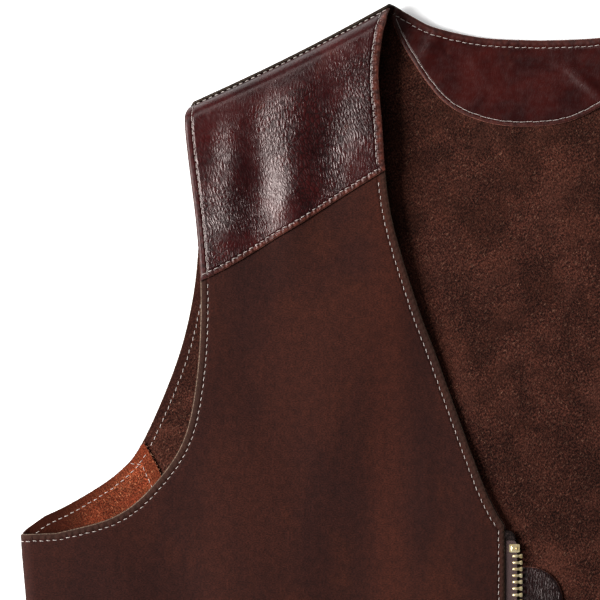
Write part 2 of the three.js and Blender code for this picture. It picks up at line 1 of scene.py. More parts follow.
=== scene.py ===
"""The looks of a zip-front leather vest that lies flat and unzipped on a pale surface.

X runs towards the wearer's left, Y towards the neck, Z up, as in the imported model. Right and left are
the wearer's. Patterns are drawn in millimetres for one half, with u the distance outward from the
centre back, and a piece's places are turned to metres as it is laid over the vest's form.
"""

import math
from collections import namedtuple

import bpy
import numpy as np
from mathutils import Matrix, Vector, kdtree
from mathutils.geometry import delaunay_2d_cdt


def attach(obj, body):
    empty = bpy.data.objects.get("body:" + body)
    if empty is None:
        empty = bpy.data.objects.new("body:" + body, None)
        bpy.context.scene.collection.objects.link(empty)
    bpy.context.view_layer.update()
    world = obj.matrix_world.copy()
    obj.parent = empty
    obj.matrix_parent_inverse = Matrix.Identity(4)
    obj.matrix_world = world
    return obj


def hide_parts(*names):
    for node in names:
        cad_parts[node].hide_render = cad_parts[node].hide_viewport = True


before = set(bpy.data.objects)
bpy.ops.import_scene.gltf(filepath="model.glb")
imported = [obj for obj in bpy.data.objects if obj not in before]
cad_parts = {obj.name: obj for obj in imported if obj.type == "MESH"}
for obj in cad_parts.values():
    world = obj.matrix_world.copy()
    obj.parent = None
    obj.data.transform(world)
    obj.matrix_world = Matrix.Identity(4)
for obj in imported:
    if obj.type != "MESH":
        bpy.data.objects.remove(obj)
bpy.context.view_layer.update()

# The camera. The photograph is a close-up from straight above of the wearer's right shoulder, armhole
# and front. A long lens from 2.4 m keeps the raised shoulder's outline where the photograph has it.
CLOSE_UP = {"x": -0.1339, "y": 0.1300, "wide": 0.3333, "above": 2.4, "leather": 0.005}
SENSOR = 36
lens = bpy.data.cameras.new("overhead_camera")
lens.sensor_width = SENSOR
lens.lens = SENSOR * (CLOSE_UP["above"] - CLOSE_UP["leather"]) / CLOSE_UP["wide"]
camera = bpy.data.objects.new("overhead_camera", lens)
camera.location = (CLOSE_UP["x"], CLOSE_UP["y"], CLOSE_UP["above"])
bpy.context.scene.collection.objects.link(camera)
bpy.context.scene.camera = camera

# The surface and the light. A white table, so brightly lit that it loses all but the deepest shadows,
# with a window-like light from the left, pale walls all round and little light from overhead.
bpy.context.scene.view_settings.view_transform = "Standard"
TABLE_REACH, TABLE_TOP = 3.0, -0.0004
SQUARE = ((-1, -1), (1, -1), (1, 1), (-1, 1))


def new_skin(name):
    """For a new material: a function that adds a node with its inputs and settings, and one that ends
    it with a shader of these inputs."""
    material = bpy.data.materials.new(name)
    material.use_nodes = True
    tree = material.node_tree
    tree.nodes.clear()

    def add(kind, settings=None, **inputs):
        node = tree.nodes.new("ShaderNode" + kind)
        for key, value in (settings or {}).items():
            setattr(node, key, value)
        for key, value in inputs.items():
            socket = node.inputs[int(key[1:])] if key[1:].isdigit() else node.inputs[key.replace("_", " ")]
            if isinstance(value, bpy.types.NodeSocket):
                tree.links.new(value, socket)
            else:
                socket.default_value = value
        return node

    def finish(**inputs):
        add("OutputMaterial", Surface=add("BsdfPrincipled", **inputs).outputs[0])
        return material

    return add, finish


def new_piece(name, spots, faces, skins, rounded=True):
    """A mesh from its corners and faces, in the scene."""
    mesh = bpy.data.meshes.new(name)
    mesh.from_pydata(np.array(spots, float).tolist(), [], faces)
    for skin in skins:
        mesh.materials.append(skin)
    if rounded:
        mesh.polygons.foreach_set("use_smooth", np.ones(len(faces), bool))
    piece = bpy.data.objects.new(name, mesh)
    bpy.context.scene.collection.objects.link(piece)
    return piece


add, finish = new_skin("table_white")
table_white = finish(
    Base_Color=(0.85, 0.85, 0.85, 1), Roughness=0.9, Specular_IOR_Level=0.1,
    Emission_Color=(1, 1, 1, 1), Emission_Strength=0.3,
)
corners = [(TABLE_REACH * a, TABLE_REACH * b, TABLE_TOP) for a, b in SQUARE]
new_piece("table", corners, [(0, 1, 2, 3)], [table_white], rounded=False)

world = bpy.data.worlds.new("studio")
world.use_nodes = True
studio, wires = world.node_tree.nodes, world.node_tree.links
backdrop = studio["Background"]
backdrop.inputs["Color"].default_value = (0.96, 0.98, 1.0, 1)
upward, direction, walls = (studio.new("ShaderNode" + kind) for kind in ("TexCoord", "SeparateXYZ", "MapRange"))
walls.interpolation_type = "SMOOTHSTEP"
for socket, value in (("From Min", 0.05), ("From Max", 0.75), ("To Min", 0.34), ("To Max", 0.03)):
    walls.inputs[socket].default_value = value
wires.new(upward.outputs["Generated"], direction.inputs[0])
wires.new(direction.outputs["Z"], walls.inputs["Value"])
wires.new(walls.outputs["Result"], backdrop.inputs["Strength"])
bpy.context.scene.world = world


def soft_light(name, place, aim, wide, long, power):
    lamp = bpy.data.lights.new(name, "AREA")
    lamp.shape = "RECTANGLE"
    lamp.size, lamp.size_y, lamp.energy = wide, long, power
    light = bpy.data.objects.new(name, lamp)
    light.location = place
    light.rotation_euler = (Vector(aim) - Vector(place)).to_track_quat("-Z", "Y").to_euler()
    bpy.context.scene.collection.objects.link(light)


soft_light("window_light", (-1.35, 0.08, 1.1), (-0.1, 0.12, 0), 0.75, 0.85, 68)
soft_light("shoulder_light", (-0.52, 0.98, 1.35), (-0.12, 0.15, 0), 0.9, 0.45, 5)

# How the vest lies. The back lies on the table, the leather rolls over at the side folds and along
# the shoulder ridges, and the fronts come back over it. Every leather piece is laid over this form.
MM = 0.001
HIDE = 1.4  # thickness of the matt hide of the fronts and the back
GRAINED = 1.2  # thickness of the glossy leather of the yokes, sides, neck facing and zip guard
GAP = 0.3  # between pieces that are sewn together
LOWER_MIDDLE = HIDE / 2
SIDE_ROLL, SIDE_REACH = 5.5, 90
RIDGE_RADIUS, RIDGE_TAPER, RIDGE_REACH, RIDGE_SAG, RIDGE_SWELL = 8.5, 2.0, 230, 1.4, 1.2
FRONT_REST, ZIP_STACK, STACK_FADE = 4.0, 2.0, 50
NECK_LIFT, NECK_LIFT_REACH, SPREAD_REACH = 3.4, 48, 150
NO_CREASE_RIDGE, NO_CREASE_FOLD, NO_CREASE_ZIP = 14, 30, 26  # how far the creases keep from these
NECK_END, ARM_END = np.array([84.1, 293.6]), np.array([194.7, 238.6])
RIDGE_LENGTH = float(np.hypot(*(ARM_END - NECK_END)))
ALONG = (ARM_END - NECK_END) / RIDGE_LENGTH
ACROSS = np.array([-ALONG[1], ALONG[0]])

Side = namedtuple("Side", "name sign spread creases")

# middle u and y, turn in degrees, length, width and height: broad folds that both fronts share
BROAD_FOLDS = [
    (150, 206, 8, 52, 24, 1.3), (112, 222, 24, 46, 22, -0.9), (104, 96, 6, 84, 25, 1.2),
    (150, 84, -4, 72, 24, -1.0), (176, 18, -16, 64, 24, 1.5), (100, 4, 9, 78, 24, -1.1),
    (66, -70, 3, 92, 22, 1.3), (150, -110, -6, 96, 27, 1.8), (108, -190, 8, 88, 25, -1.3),
    (214, -70, -18, 70, 22, 1.2), (198, -236, -10, 84, 25, 1.6), (72, -272, 5, 76, 23, 1.3),
]
# and the finer creases of each side
RIGHT_CREASES = [
    (173, 190, 3, 34, 9, 1.5), (156, 197, -4, 38, 10, -1.9), (138, 196, 4, 40, 11, 2.6),
    (114, 200, 8, 32, 11, -1.15), (100, 229, 22, 28, 10, 1.2), (181, 216, -10, 20, 8, -0.6),
    (146, 230, 30, 26, 9, 0.6), (120, 166, 14, 24, 10, 0.6),
    (84, 126, -10, 46, 10, 0.35), (138, 118, 5, 58, 13, 0.45), (168, 104, -6, 44, 11, -0.3),
    (122, 62, 4, 60, 12, 0.4), (158, 40, -24, 38, 11, 0.5), (204, 12, -38, 34, 10, 0.6),
    (66, 44, -16, 46, 10, 0.35), (92, -60, 6, 52, 12, 0.4), (176, -60, -12, 48, 12, 0.5),
    (232, -30, -28, 40, 11, 0.5), (124, -150, 4, 60, 13, 0.4), (196, -150, -8, 52, 12, 0.45),
    (58, -170, 3, 58, 11, 0.35), (240, -180, -14, 46, 11, 0.5), (146, -250, -5, 56, 12, 0.45),
    (96, -300, 6, 40, 11, 0.4), (226, -292, -10, 44, 11, 0.5),
]
LEFT_CREASES = [
    (167, 188, -5, 32, 9, 1.2), (151, 206, 6, 34, 10, -1.3), (126, 198, -3, 36, 12, 2.0),
    (107, 214, 14, 30, 10, -1.3), (178, 220, -14, 22, 8, 0.6), (138, 232, 26, 28, 9, 0.7),
    (90, 112, -6, 50, 11, 0.4), (146, 128, 8, 50, 12, 0.4), (116, 48, -3, 64, 12, 0.45),
    (172, 52, -20, 42, 12, 0.5), (212, 2, -34, 36, 10, 0.6), (62, 22, -12, 44, 10, 0.35),
    (98, -84, 4, 56, 12, 0.45), (184, -84, -14, 44, 11, 0.5), (236, -66, -22, 42, 11, 0.45),
    (132, -178, 7, 54, 12, 0.4), (204, -128, -6, 56, 12, 0.5), (64, -206, 5, 52, 11, 0.4),
    (244, -214, -12, 44, 11, 0.5), (150, -280, -8, 50, 12, 0.45), (100, -318, 3, 34, 10, 0.4),
]
RIGHT = Side("right", -1, 0.0, tuple(BROAD_FOLDS + RIGHT_CREASES))
LEFT = Side("left", 1, 26.0, tuple(BROAD_FOLDS + LEFT_CREASES))


def smooth(t):
    t = np.clip(t, 0, 1)
    return t * t * (3 - 2 * t)


def falloff(t):
    return 0.5 * (1 + np.cos(math.pi * np.clip(t, 0, 1)))


def reader(table):
    """A function that reads a table's second column against its first, with smooth joins."""
    at, value = np.array(sorted(table), float).T
    last = len(at) - 1
    after, before = np.minimum(np.arange(last + 1) + 1, last), np.maximum(np.arange(last + 1) - 1, 0)
    lean = (value[after] - value[before]) / (at[after] - at[before])

    def read(v):
        v = np.clip(v, at[0], at[last])
        i = np.clip(np.searchsorted(at, v, "right") - 1, 0, last - 1)
        wide = at[i + 1] - at[i]
        t = (v - at[i]) / wide
        start, end = lean[i] * wide, lean[i + 1] * wide
        low = (2 * t**3 - 3 * t**2 + 1) * value[i] + (t**3 - 2 * t**2 + t) * start
        return low + (3 * t**2 - 2 * t**3) * value[i + 1] + (t**3 - t**2) * end

    return read


side_fold = reader([(80, 288.6), (0, 288.3), (-40, 285.3), (-140, 281.0), (-250, 279.4), (-380, 281.5)])


def spread_at(side, y):
    return side.spread * (1 - np.exp(-((np.maximum(0, NECK_END[1] - y) / SPREAD_REACH) ** 2)))


def fold_at(side, y):
    return side_fold(y) + spread_at(side, y) / 2


def ridge_radius(share):
    return RIDGE_RADIUS - RIDGE_TAPER * share


def ridge_place(u, y):
    """Share of the ridge's length, its radius there, and the distance past the start of its roll."""
    du, dy = u - NECK_END[0], y - NECK_END[1]
    share = np.clip((du * ALONG[0] + dy * ALONG[1]) / RIDGE_LENGTH, 0, 1)
    radius = ridge_radius(share)
    return share, radius, du * ACROSS[0] + dy * ACROSS[1] + RIDGE_SAG * np.sin(math.pi * share) + radius


def crease_height(creases, u, y):
    height = np.zeros_like(u)
    for middle_u, middle_y, turn, long, wide, high in creases:
        a = math.radians(turn)
        across = (u - middle_u) * math.cos(a) + (y - middle_y) * math.sin(a)
        lengthways = (y - middle_y) * math.cos(a) - (u - middle_u) * math.sin(a)
        height += high * np.exp(-((across / wide) ** 2) - (lengthways / long) ** 2)
    return height


def front_height(side, u, y):
    opened = u - spread_at(side, y)
    rest = FRONT_REST + ZIP_STACK * falloff((opened - 30) / STACK_FADE) * falloff((y - 25) / STACK_FADE)
    _, radius, past = ridge_place(u, y)
    under_ridge = rest + (LOWER_MIDDLE + 2 * radius - rest) * falloff(-past / RIDGE_REACH)
    in_from_fold = fold_at(side, y) - SIDE_ROLL - u
    near_side = falloff(in_from_fold / SIDE_REACH)
    height = under_ridge + (LOWER_MIDDLE + 2 * SIDE_ROLL - under_ridge) * near_side
    clear = smooth(-past / NO_CREASE_RIDGE) * smooth(in_from_fold / NO_CREASE_FOLD)
    clear = clear * smooth((opened - 42) / NO_CREASE_ZIP)
    return height + crease_height(side.creases, opened, y) * clear


def ridge_swell(radius, past):
    """The leather springs up a little before it turns over the shoulder ridge."""
    return RIDGE_SWELL * falloff((past + 5) / (5 + 1.2 * radius)) * smooth((past + 24) / 19)


def neck_lift(middle):
    """The shoulder stands off the table a little where it meets the neck."""
    return NECK_LIFT * np.exp(-((middle[:, :2] - NECK_END) ** 2).sum(1) / NECK_LIFT_REACH**2)


def over_ridge(u, y, moved, high):
    return np.stack([u + moved * ACROSS[0], y + moved * ACROSS[1], LOWER_MIDDLE + high], -1)


def upper(side, u, y):
    """Middle of the upper leather, the fronts and yokes, at places on the pattern."""
    _, radius, past = ridge_place(u, y)
    turn = np.minimum(math.pi, np.maximum(past, 0) / radius)
    ridge = over_ridge(u, y, radius * (np.sin(turn) + turn) - 2 * past, radius * (1 + np.cos(turn)))
    start = fold_at(side, y) - SIDE_ROLL
    beyond = np.maximum(0, u - start)
    roll = np.minimum(math.pi, beyond / SIDE_ROLL)
    place = np.minimum(u, start) + SIDE_ROLL * (np.sin(roll) + roll) - beyond
    high = front_height(side, np.minimum(u, start), y) - SIDE_ROLL * (1 - np.cos(roll))
    middle = np.where((past > 0)[:, None], ridge, np.stack([place, y, high], -1))
    middle[:, 2] += neck_lift(middle) + ridge_swell(radius, past)
    return middle


def lower(side, u, y):
    """Middle of the lower leather, the back and side panels."""
    _, radius, past = ridge_place(u, y)
    turn = np.maximum(past, 0) / radius
    ridge = over_ridge(u, y, radius * np.sin(turn) - past, radius * (1 - np.cos(turn)))
    start = fold_at(side, y) - SIDE_ROLL
    roll = np.maximum(0, u - start) / SIDE_ROLL
    place = np.minimum(u, start) + SIDE_ROLL * np.sin(roll)
    side_roll = np.stack([place, y, LOWER_MIDDLE + SIDE_ROLL * (1 - np.cos(roll))], -1)
    middle = np.where((past > 0)[:, None], ridge, side_roll)
    middle[:, 2] += neck_lift(middle)
    return middle


def raised(level, u, y):
    return level(u, y) if callable(level) else level


def laid(form, side, level=0.0):
    """How a half piece is laid: from places on its pattern, and distances outward, to places in metres."""

    def lay(u, y, out):
        step = 0.05
        lean_out = form(side, u + step, y) - form(side, u - step, y)
        lean_up = form(side, u, y + step) - form(side, u, y - step)
        normal = np.cross(lean_out, lean_up)
        normal /= np.linalg.norm(normal, axis=1)[:, None]
        outward = (raised(level, u, y) + out) * (1 if form is upper else -1)
        place = form(side, u, y) + normal * outward[:, None]
        place[:, 0] *= side.sign
        return place * MM

    return lay


def laid_whole(level=0.0):
    """The same for a piece that crosses the centre back."""

    def lay(x, y, out):
        place = np.zeros((len(x), 3))
        for side in (RIGHT, LEFT):
            here = (x < 0) == (side is RIGHT)
            whole_out = out[here] + raised(level, x[here], y[here])
            place[here] = laid(lower, side)(np.abs(x[here]), y[here], whole_out)
        return place

    return lay


# The back. One piece of matt dark brown hide with its suede side in, cut to the shoulders, armholes
# and neckline, and lapped over the side panels and the yokes. It lies with its outside on the table.
HEM, HEM_INSET, BACK_LAP = -345, 4.5, 14
UNSEWN_INSET, NOT_NEAR_EDGE = 4.0, 9
SAME_POINT, SAME_END, ROW_APART = 0.15, 0.3, 0.866
PITCH = 3.7  # of the stitches, which the grooves along them follow too
Cut = namedtuple("Cut", "points inward inset part area")


def lengths_along(points):
    return np.r_[0, np.cumsum(np.linalg.norm(np.diff(points, axis=0), axis=1))]


def evenly(points, step):
    """The same line with its points about `step` apart."""
    lengths = lengths_along(points)
    at = np.linspace(0, lengths[-1], max(2, round(lengths[-1] / step) + 1))
    return np.stack([np.interp(at, lengths, points[:, k]) for k in range(2)], -1)


def along(points, step=2.0):
    """Points about `step` apart on a smooth curve through a table."""
    p = np.array(points, float)
    p = np.vstack([p[:1], p, p[-1:]])
    t = np.linspace(0, 1, 40, endpoint=False)[:, None]
    fine = []
    for a, b, c, d in zip(p, p[1:], p[2:], p[3:]):
        start, end = (c - a) / 2, (d - b) / 2
        bend = (2 * b - 2 * c + start + end) * t**3 + (-3 * b + 3 * c - 2 * start - end) * t**2
        fine.append(bend + start * t + b)
    return evenly(np.vstack(fine + [p[-1:]]), step)


def line(u, y, step=2.0):
    return evenly(np.stack(np.broadcast_arrays(np.asarray(u, float), np.asarray(y, float)), -1), step)


def cut_line(parts):
    """A closed cutting line from parts, each some points and the inset of the row sewn along it, or 0."""
    points, inset, part = [], [], []
    for number, (line_points, line_inset) in enumerate(parts):
        for p in line_points:
            if not points or math.dist(p, points[-1]) > SAME_POINT:
                points.append(tuple(p))
                inset.append(line_inset)
                part.append(number)
    if math.dist(points[0], points[-1]) < SAME_END:
        points, inset, part = points[:-1], inset[:-1], part[:-1]
    points, inset, part = np.array(points), np.array(inset, float), np.array(part)
    after = np.roll(points, -1, 0)
    area = float((points[:, 0] * after[:, 1] - after[:, 0] * points[:, 1]).sum() / 2)
    if area < 0:
        points, inset, part = points[::-1], inset[::-1], part[::-1]
    edge = np.roll(points, -1, 0) - points
    edge /= np.linalg.norm(edge, axis=1)[:, None]
    normal = np.stack([-edge[:, 1], edge[:, 0]], -1)
    inward = normal + np.roll(normal, 1, 0)
    inward /= np.maximum(np.linalg.norm(inward, axis=1), 0.4)[:, None]
    return Cut(points, inward, inset, part, abs(area))


def encloses(points, u, y):
    """Which places lie inside a closed line."""
    inside = np.zeros(len(u), bool)
    for (au, ay), (bu, by) in zip(points, np.roll(points, -1, 0)):
        if ay != by:
            crosses = (ay > y) != (by > y)
            inside[crosses] ^= u[crosses] < (bu - au) * (y[crosses] - ay) / (by - ay) + au
    return inside


def distance_in(cut, u, y):
    """Distance in from the cutting line, and the line's nearest point, for places inside it."""
    tree = kdtree.KDTree(len(cut.points))
    for i, (a, b) in enumerate(cut.points):
        tree.insert((a, b, 0), i)
    tree.balance()
    nearest = np.array([tree.find((a, b, 0))[1] for a, b in zip(u, y)], int).reshape(-1)
    place = np.stack([u, y], -1)
    best = np.full(len(u), np.inf)
    for turn in (-1, 0):
        a = cut.points[(nearest + turn) % len(cut.points)]
        b = cut.points[(nearest + turn + 1) % len(cut.points)]
        along_it = np.clip(((place - a) * (b - a)).sum(1) / ((b - a) ** 2).sum(1), 0, 1)
        best = np.minimum(best, np.linalg.norm(place - a - (b - a) * along_it[:, None], axis=1))
    return best, nearest


def grid_inside(cut, step, clear, near_only=None):
    """Places on a staggered grid inside the cutting line, at least `clear` from it."""
    low, high = cut.points.min(0), cut.points.max(0)
    rows_up = np.arange(low[1], high[1], step * ROW_APART)
    columns = np.arange(low[0], high[0] + step, step)
    u = columns[None, :] + np.where(np.arange(len(rows_up)) % 2, 0.5, 0.0)[:, None] * step
    y = np.repeat(rows_up[:, None], u.shape[1], 1)
    u, y = u.ravel(), y.ravel()
    if near_only is not None:
        kept = near_only(u, y)
        u, y = u[kept], y[kept]
    inside = encloses(cut.points, u, y)
    u, y = u[inside], y[inside]
    far = distance_in(cut, u, y)[0] > clear
    return np.stack([u[far], y[far]], -1)


def cut_piece(name, cut, lay, thick, skins, step, shift=0.0, fine=None, bevel=0.3):
    """Cuts a piece flat on its line, with both faces and a softly rounded raw edge, and lays it.
    Skins are the materials of its outward face, its inward face and its edge. `fine` says where the
    leather rolls, for a closer mesh."""
    count = len(cut.points)
    rim = cut.points + cut.inward * bevel
    coarse = None if fine is None else lambda u, y: ~fine(u, y)
    inner = grid_inside(cut, step, step * 0.6, coarse)
    if fine is not None:
        closer = step * 0.42
        inner = np.vstack([inner, grid_inside(cut, closer, closer, fine)])
    flat = [Vector(p) for p in np.vstack([rim, inner])]
    loop = [(i, (i + 1) % count) for i in range(count)]
    verts, _, faces, origins, _, _ = delaunay_2d_cdt(flat, loop, [], 0, 1e-6, True)
    place = np.array([tuple(v) for v in verts])
    at_rim = np.zeros(count, int)
    for new, olds in enumerate(origins):
        for old in olds:
            if old < count:
                at_rim[old] = new
    faces = np.array(faces, int)
    faces = faces[encloses(rim, *place[faces].mean(1).T)]
    total = len(place)
    u, y = np.vstack([place, place, cut.points, cut.points]).T
    half = thick / 2
    spots = lay(u, y, np.repeat([half, -half, half - bevel, bevel - half], [total, total, count, count]))

    following = np.roll(np.arange(count), -1)
    edge_top = np.arange(count) + 2 * total
    edge_low = edge_top + count
    polygons = [*faces.tolist(), *(faces[:, ::-1] + total).tolist()]
    for a, b in ((edge_top, at_rim), (edge_low, edge_top), (at_rim + total, edge_low)):
        polygons += np.stack([a, a[following], b[following], b], -1).tolist()
    middle = spots[:total].mean(0)
    volume = 0
    for layer, sign in ((faces, 1), (faces + total, -1)):
        a, b, c = (spots[layer[:, k]] - middle for k in range(3))
        volume += sign * (a * np.cross(b, c)).sum()
    if volume < 0:
        polygons = [p[::-1] for p in polygons]
    piece = new_piece(name, spots, polygons, skins)
    mesh = piece.data
    kinds = np.repeat([0, 1, 2], [len(faces), len(faces), 3 * count])
    mesh.polygons.foreach_set("material_index", kinds)

    # how far in from the edge, where 1 is on the row of stitches; how far along it; whether it is sewn
    away, nearest = distance_in(cut, u, y)
    sewn = (cut.inset > 0)[nearest]
    inset = np.where(sewn, cut.inset[nearest], UNSEWN_INSET)
    inward = np.minimum(away / inset, NOT_NEAR_EDGE)
    seam = np.stack([inward, lengths_along(cut.points)[nearest], sewn * 1.0], -1)
    mesh.attributes.new("seam", "FLOAT_VECTOR", "POINT").data.foreach_set("vector", seam.ravel())
    corners = np.zeros(len(mesh.loops), int)
    mesh.loops.foreach_get("vertex_index", corners)
    pattern = np.stack([u + shift, y], -1) * MM
    mesh.uv_layers.new(name="pattern").data.foreach_set("uv", pattern[corners].ravel())

    pairs = np.zeros(len(mesh.edges) * 2, int)
    mesh.edges.foreach_get("vertices", pairs)
    pairs = np.sort(pairs.reshape(-1, 2), axis=1)
    sharp = {tuple(sorted(p)) for layer in (0, total) for p in zip(at_rim + layer, at_rim[following] + layer)}
    creased = mesh.attributes.new("sharp_edge", "BOOLEAN", "EDGE")
    creased.data.foreach_set("value", np.array([tuple(p) in sharp for p in pairs]))
    return piece


def leather(name, node, slot, cut, lay, thick, skins, step, rests_on=(), flat=None, **options):
    """A piece cut and laid. It rides with the vest. Its `flat` size, the cut size unless given, is worked out
    but not used.
    """
    piece = cut_piece(name, cut, lay, thick, skins, step, **options)
    flat = flat or tuple(float(s) * MM for s in cut.points.max(0) - cut.points.min(0))
    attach(piece, "vest")
    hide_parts(node)
    return piece


BACK_ARMHOLE = along([
    (198.4, 250.0), (194.6, 228.0), (190.0, 190.0), (190.2, 165.0), (193.7, 130.9), (202.8, 94.9),
    (221.4, 51.3), (235.5, 33.7), (258.3, 18.6), (276.4, 9.6),
])
NECKLINE = along([(88.6, 302.0), (83.9, 295.6), (70.1, 286.6), (57.4, 280.9), (31.8, 275.7), (0, 274.3)])
back_seam = reader([(63, 228), (34.1, 211.6), (0, 201), (-60, 195.5), (-180, 194), (-360, 197)])


def back_lap(share):
    return 2.5 - 2.2 * share  # the back's edge, this far past the ridge's top, on the front


def ridge_line(laps, more=0.0):
    """A line along the shoulder ridge: so many laps past the ridge's top, and a little more."""
    share = np.linspace(0.02, 0.985, 60)
    radius = ridge_radius(share)
    past = math.pi / 2 * radius + laps * back_lap(share) + more
    out = -RIDGE_SAG * np.sin(math.pi * share) - radius + past
    return NECK_END + ALONG * (share * RIDGE_LENGTH)[:, None] + ACROSS * out[:, None]


def rows(points, low, high):
    return points[(points[:, 1] > low) & (points[:, 1] < high)]


hem_rows = np.linspace(HEM, 30, 190)
half = [
    (np.stack([back_seam(hem_rows) + BACK_LAP, hem_rows], -1), 0),
    (rows(BACK_ARMHOLE, 36, 238)[::-1], 5.0),
    (ridge_line(1)[::-1], 0),
    (NECKLINE[2:], 4.2),
]
mirror = np.array([-1, 1])
hem_end = back_seam(HEM) + BACK_LAP
other_half = [(points[::-1] * mirror, inset) for points, inset in half[::-1]]
back_cut = cut_line(half + other_half + [(line([-hem_end, hem_end], [HEM, HEM]), HEM_INSET)])


def maths(add, operation, *terms):
    """The terms put together one after another."""
    if len(terms) == 1:
        return add("Math", {"operation": operation}, _0=terms[0]).outputs[0]
    total = terms[0]
    for term in terms[1:]:
        total = add("Math", {"operation": operation}, _0=total, _1=term).outputs[0]
    return total


def times(add, *factors):
    return maths(add, "MULTIPLY", *factors)


def plus(add, *terms):
    return maths(add, "ADD", *terms)


def bump(add, height, distance, **normal):
    return add("Bump", Height=height, Distance=distance, **normal).outputs["Normal"]


def drawn_out(add, at, stretch, turn=0.0):
    """Coordinates that draw a texture out this many times along a direction, turned from the pattern's y."""
    turned, wide = (0, 0, math.radians(turn)), (1, stretch, 1)
    return add("Mapping", {"vector_type": "TEXTURE"}, Vector=at, Scale=wide, Rotation=turned).outputs[0]


def noise(add, at, scale, detail=3.0, roughness=0.55, distortion=0.0):
    made = add("TexNoise", Vector=at, Scale=scale, Detail=detail, Roughness=roughness, Distortion=distortion)
    return made.outputs["Fac"]


def ranged(add, value, low, high, to_low=0.0, to_high=1.0):
    made = add("MapRange", {"interpolation_type": "SMOOTHSTEP"}, Value=value, From_Min=low, From_Max=high)
    made.inputs["To Min"].default_value = to_low
    made.inputs["To Max"].default_value = to_high
    return made.outputs["Result"]


def mixed(add, share, a, b, blend="MIX"):
    a, b = (value if isinstance(value, bpy.types.NodeSocket) else (*value, 1) for value in (a, b))
    return add("Mix", {"data_type": "RGBA", "blend_type": blend}, Factor=share, _6=a, _7=b).outputs[2]


def washed(add, colour, wash, strength, where):
    """A colour with another laid over it in places, at this strength."""
    return mixed(add, times(add, where, strength), colour, wash)


def tinted(add, colour, shade):
    """A colour times a shade of grey."""
    grey = add("CombineColor", Red=shade, Green=shade, Blue=shade).outputs[0]
    return mixed(add, 1.0, colour, grey, "MULTIPLY")


def pattern_place(add):
    return add("UVMap", {"uv_map": "pattern"}).outputs[0]


def vest_place(add):
    return add("TexCoord").outputs["Object"]


def off_middle(add):
    """How far a place lies from the vest's middle, in metres."""
    return maths(add, "ABSOLUTE", add("SeparateXYZ", Vector=vest_place(add)).outputs[0])


def past_ridge(add):
    """How far a place lies past the line of the shoulder ridge, in metres; below 0 before it."""
    up = add("SeparateXYZ", Vector=vest_place(add)).outputs[1]
    reached = plus(add, times(add, off_middle(add), float(ACROSS[0])), times(add, up, float(ACROSS[1])))
    return maths(add, "SUBTRACT", reached, float(NECK_END @ ACROSS) * MM)


def seam_place(add, inner, outer):
    """The seam's attribute, and the strip outside a row of stitches, which fades between two insets."""
    seam = add("SeparateXYZ", Vector=add("Attribute", {"attribute_name": "seam"}).outputs["Vector"]).outputs
    return seam, times(add, ranged(add, seam[0], inner, outer, 1, 0), seam[2])


def sewn_groove(add, seam, surface, puckers=0.35):
    """The row of stitches pulls the leather down in a narrow groove, with a small pucker at each stitch."""
    off = maths(add, "ABSOLUTE", maths(add, "SUBTRACT", seam[0], 1.0))
    groove = times(add, ranged(add, off, 0.0, 0.34, 0.7, 0), seam[2])
    pull = maths(add, "SINE", times(add, seam[1], 2 * math.pi / PITCH))
    outside_row = times(add, ranged(add, seam[0], 0.15, 0.5), ranged(add, seam[0], 0.85, 1.1, 1, 0))
    dip = maths(add, "SUBTRACT", times(add, pull, puckers, outside_row, seam[2]), groove)
    edge_roll = times(add, ranged(add, seam[0], 0.0, 0.4, 1, 0), -0.9)
    return bump(add, plus(add, dip, edge_roll), 0.00045, Normal=surface)


def suede(name, dark, middle, light, redder, duller, grain=1.0, fold_hollow_shade=None):
    """The flesh side of a hide: short matted fibres in small clumps, rough to the touch, with no shine.
    The last argument gives the distances from the vest's middle between which painted shade darkens it: the
    hollow inside a side fold."""
    add, finish = new_skin(name)
    at = pattern_place(add)
    clumps = noise(add, at, 420 * grain, 3, 0.65, 0.4)
    nap = noise(add, drawn_out(add, at, 1.4, 25), 1500 * grain, 3, 0.75)
    hairs = noise(add, drawn_out(add, at, 3.4, -35), 1500 * grain, 2, 0.7)
    pile = plus(add, times(add, clumps, 0.16), times(add, nap, 0.84))
    colour = mixed(add, ranged(add, pile, 0.4, 0.62), dark, middle)
    colour = washed(add, colour, light, 0.85, ranged(add, hairs, 0.56, 0.72))
    colour = washed(add, colour, redder, 0.5, ranged(add, noise(add, at, 34, 4, 0.6, 0.5), 0.46, 0.64))
    colour = washed(add, colour, duller, 0.65, ranged(add, noise(add, at, 43, 4, 0.6, 0.8), 0.5, 0.66))
    patches = ranged(add, noise(add, at, 40, 3, 0.6, 0.6), 0.36, 0.66, 0.7, 1.24)
    broad_patches = ranged(add, noise(add, at, 9, 2, 0.5), 0.34, 0.66, 0.84, 1.14)
    colour = tinted(add, colour, times(add, ranged(add, pile, 0.36, 0.66, 0.42, 1.6), patches, broad_patches))
    colour = washed(add, colour, tuple(c * 1.1 for c in dark), 0.5, seam_place(add, 0.6, 1.1)[1])
    # painted shade: the hollow inside a side fold, darkened nearly to black in the colour
    if fold_hollow_shade is not None:
        colour = washed(add, colour, tuple(c * 0.25 for c in dark), 0.95, ranged(add, off_middle(add), *fold_hollow_shade))
    surface = bump(add, plus(add, pile, times(add, hairs, 0.3)), 0.0007)
    return finish(Base_Color=colour, Roughness=0.95, Specular_IOR_Level=0.08, Normal=surface)


def raw_edge(name, dark, light, inked=None):
    """The cut side of the leather: packed fibres, darker along the shoulder ridge. `inked` gives the
    distances from the vest's middle between which the edge turns dark with dye."""
    add, finish = new_skin(name)
    fibres = noise(add, vest_place(add), 900, 3, 0.65)
    colour = mixed(add, ranged(add, fibres, 0.35, 0.7), dark, light)
    shade = ranged(add, past_ridge(add), -0.012, -0.004, 1, 0.3)
    if inked is not None:
        shade = times(add, shade, ranged(add, off_middle(add), *inked, 1, 0.28))
    colour, surface = tinted(add, colour, shade), bump(add, fibres, 0.0004)
    return finish(Base_Color=colour, Roughness=0.9, Specular_IOR_Level=0.15, Normal=surface)


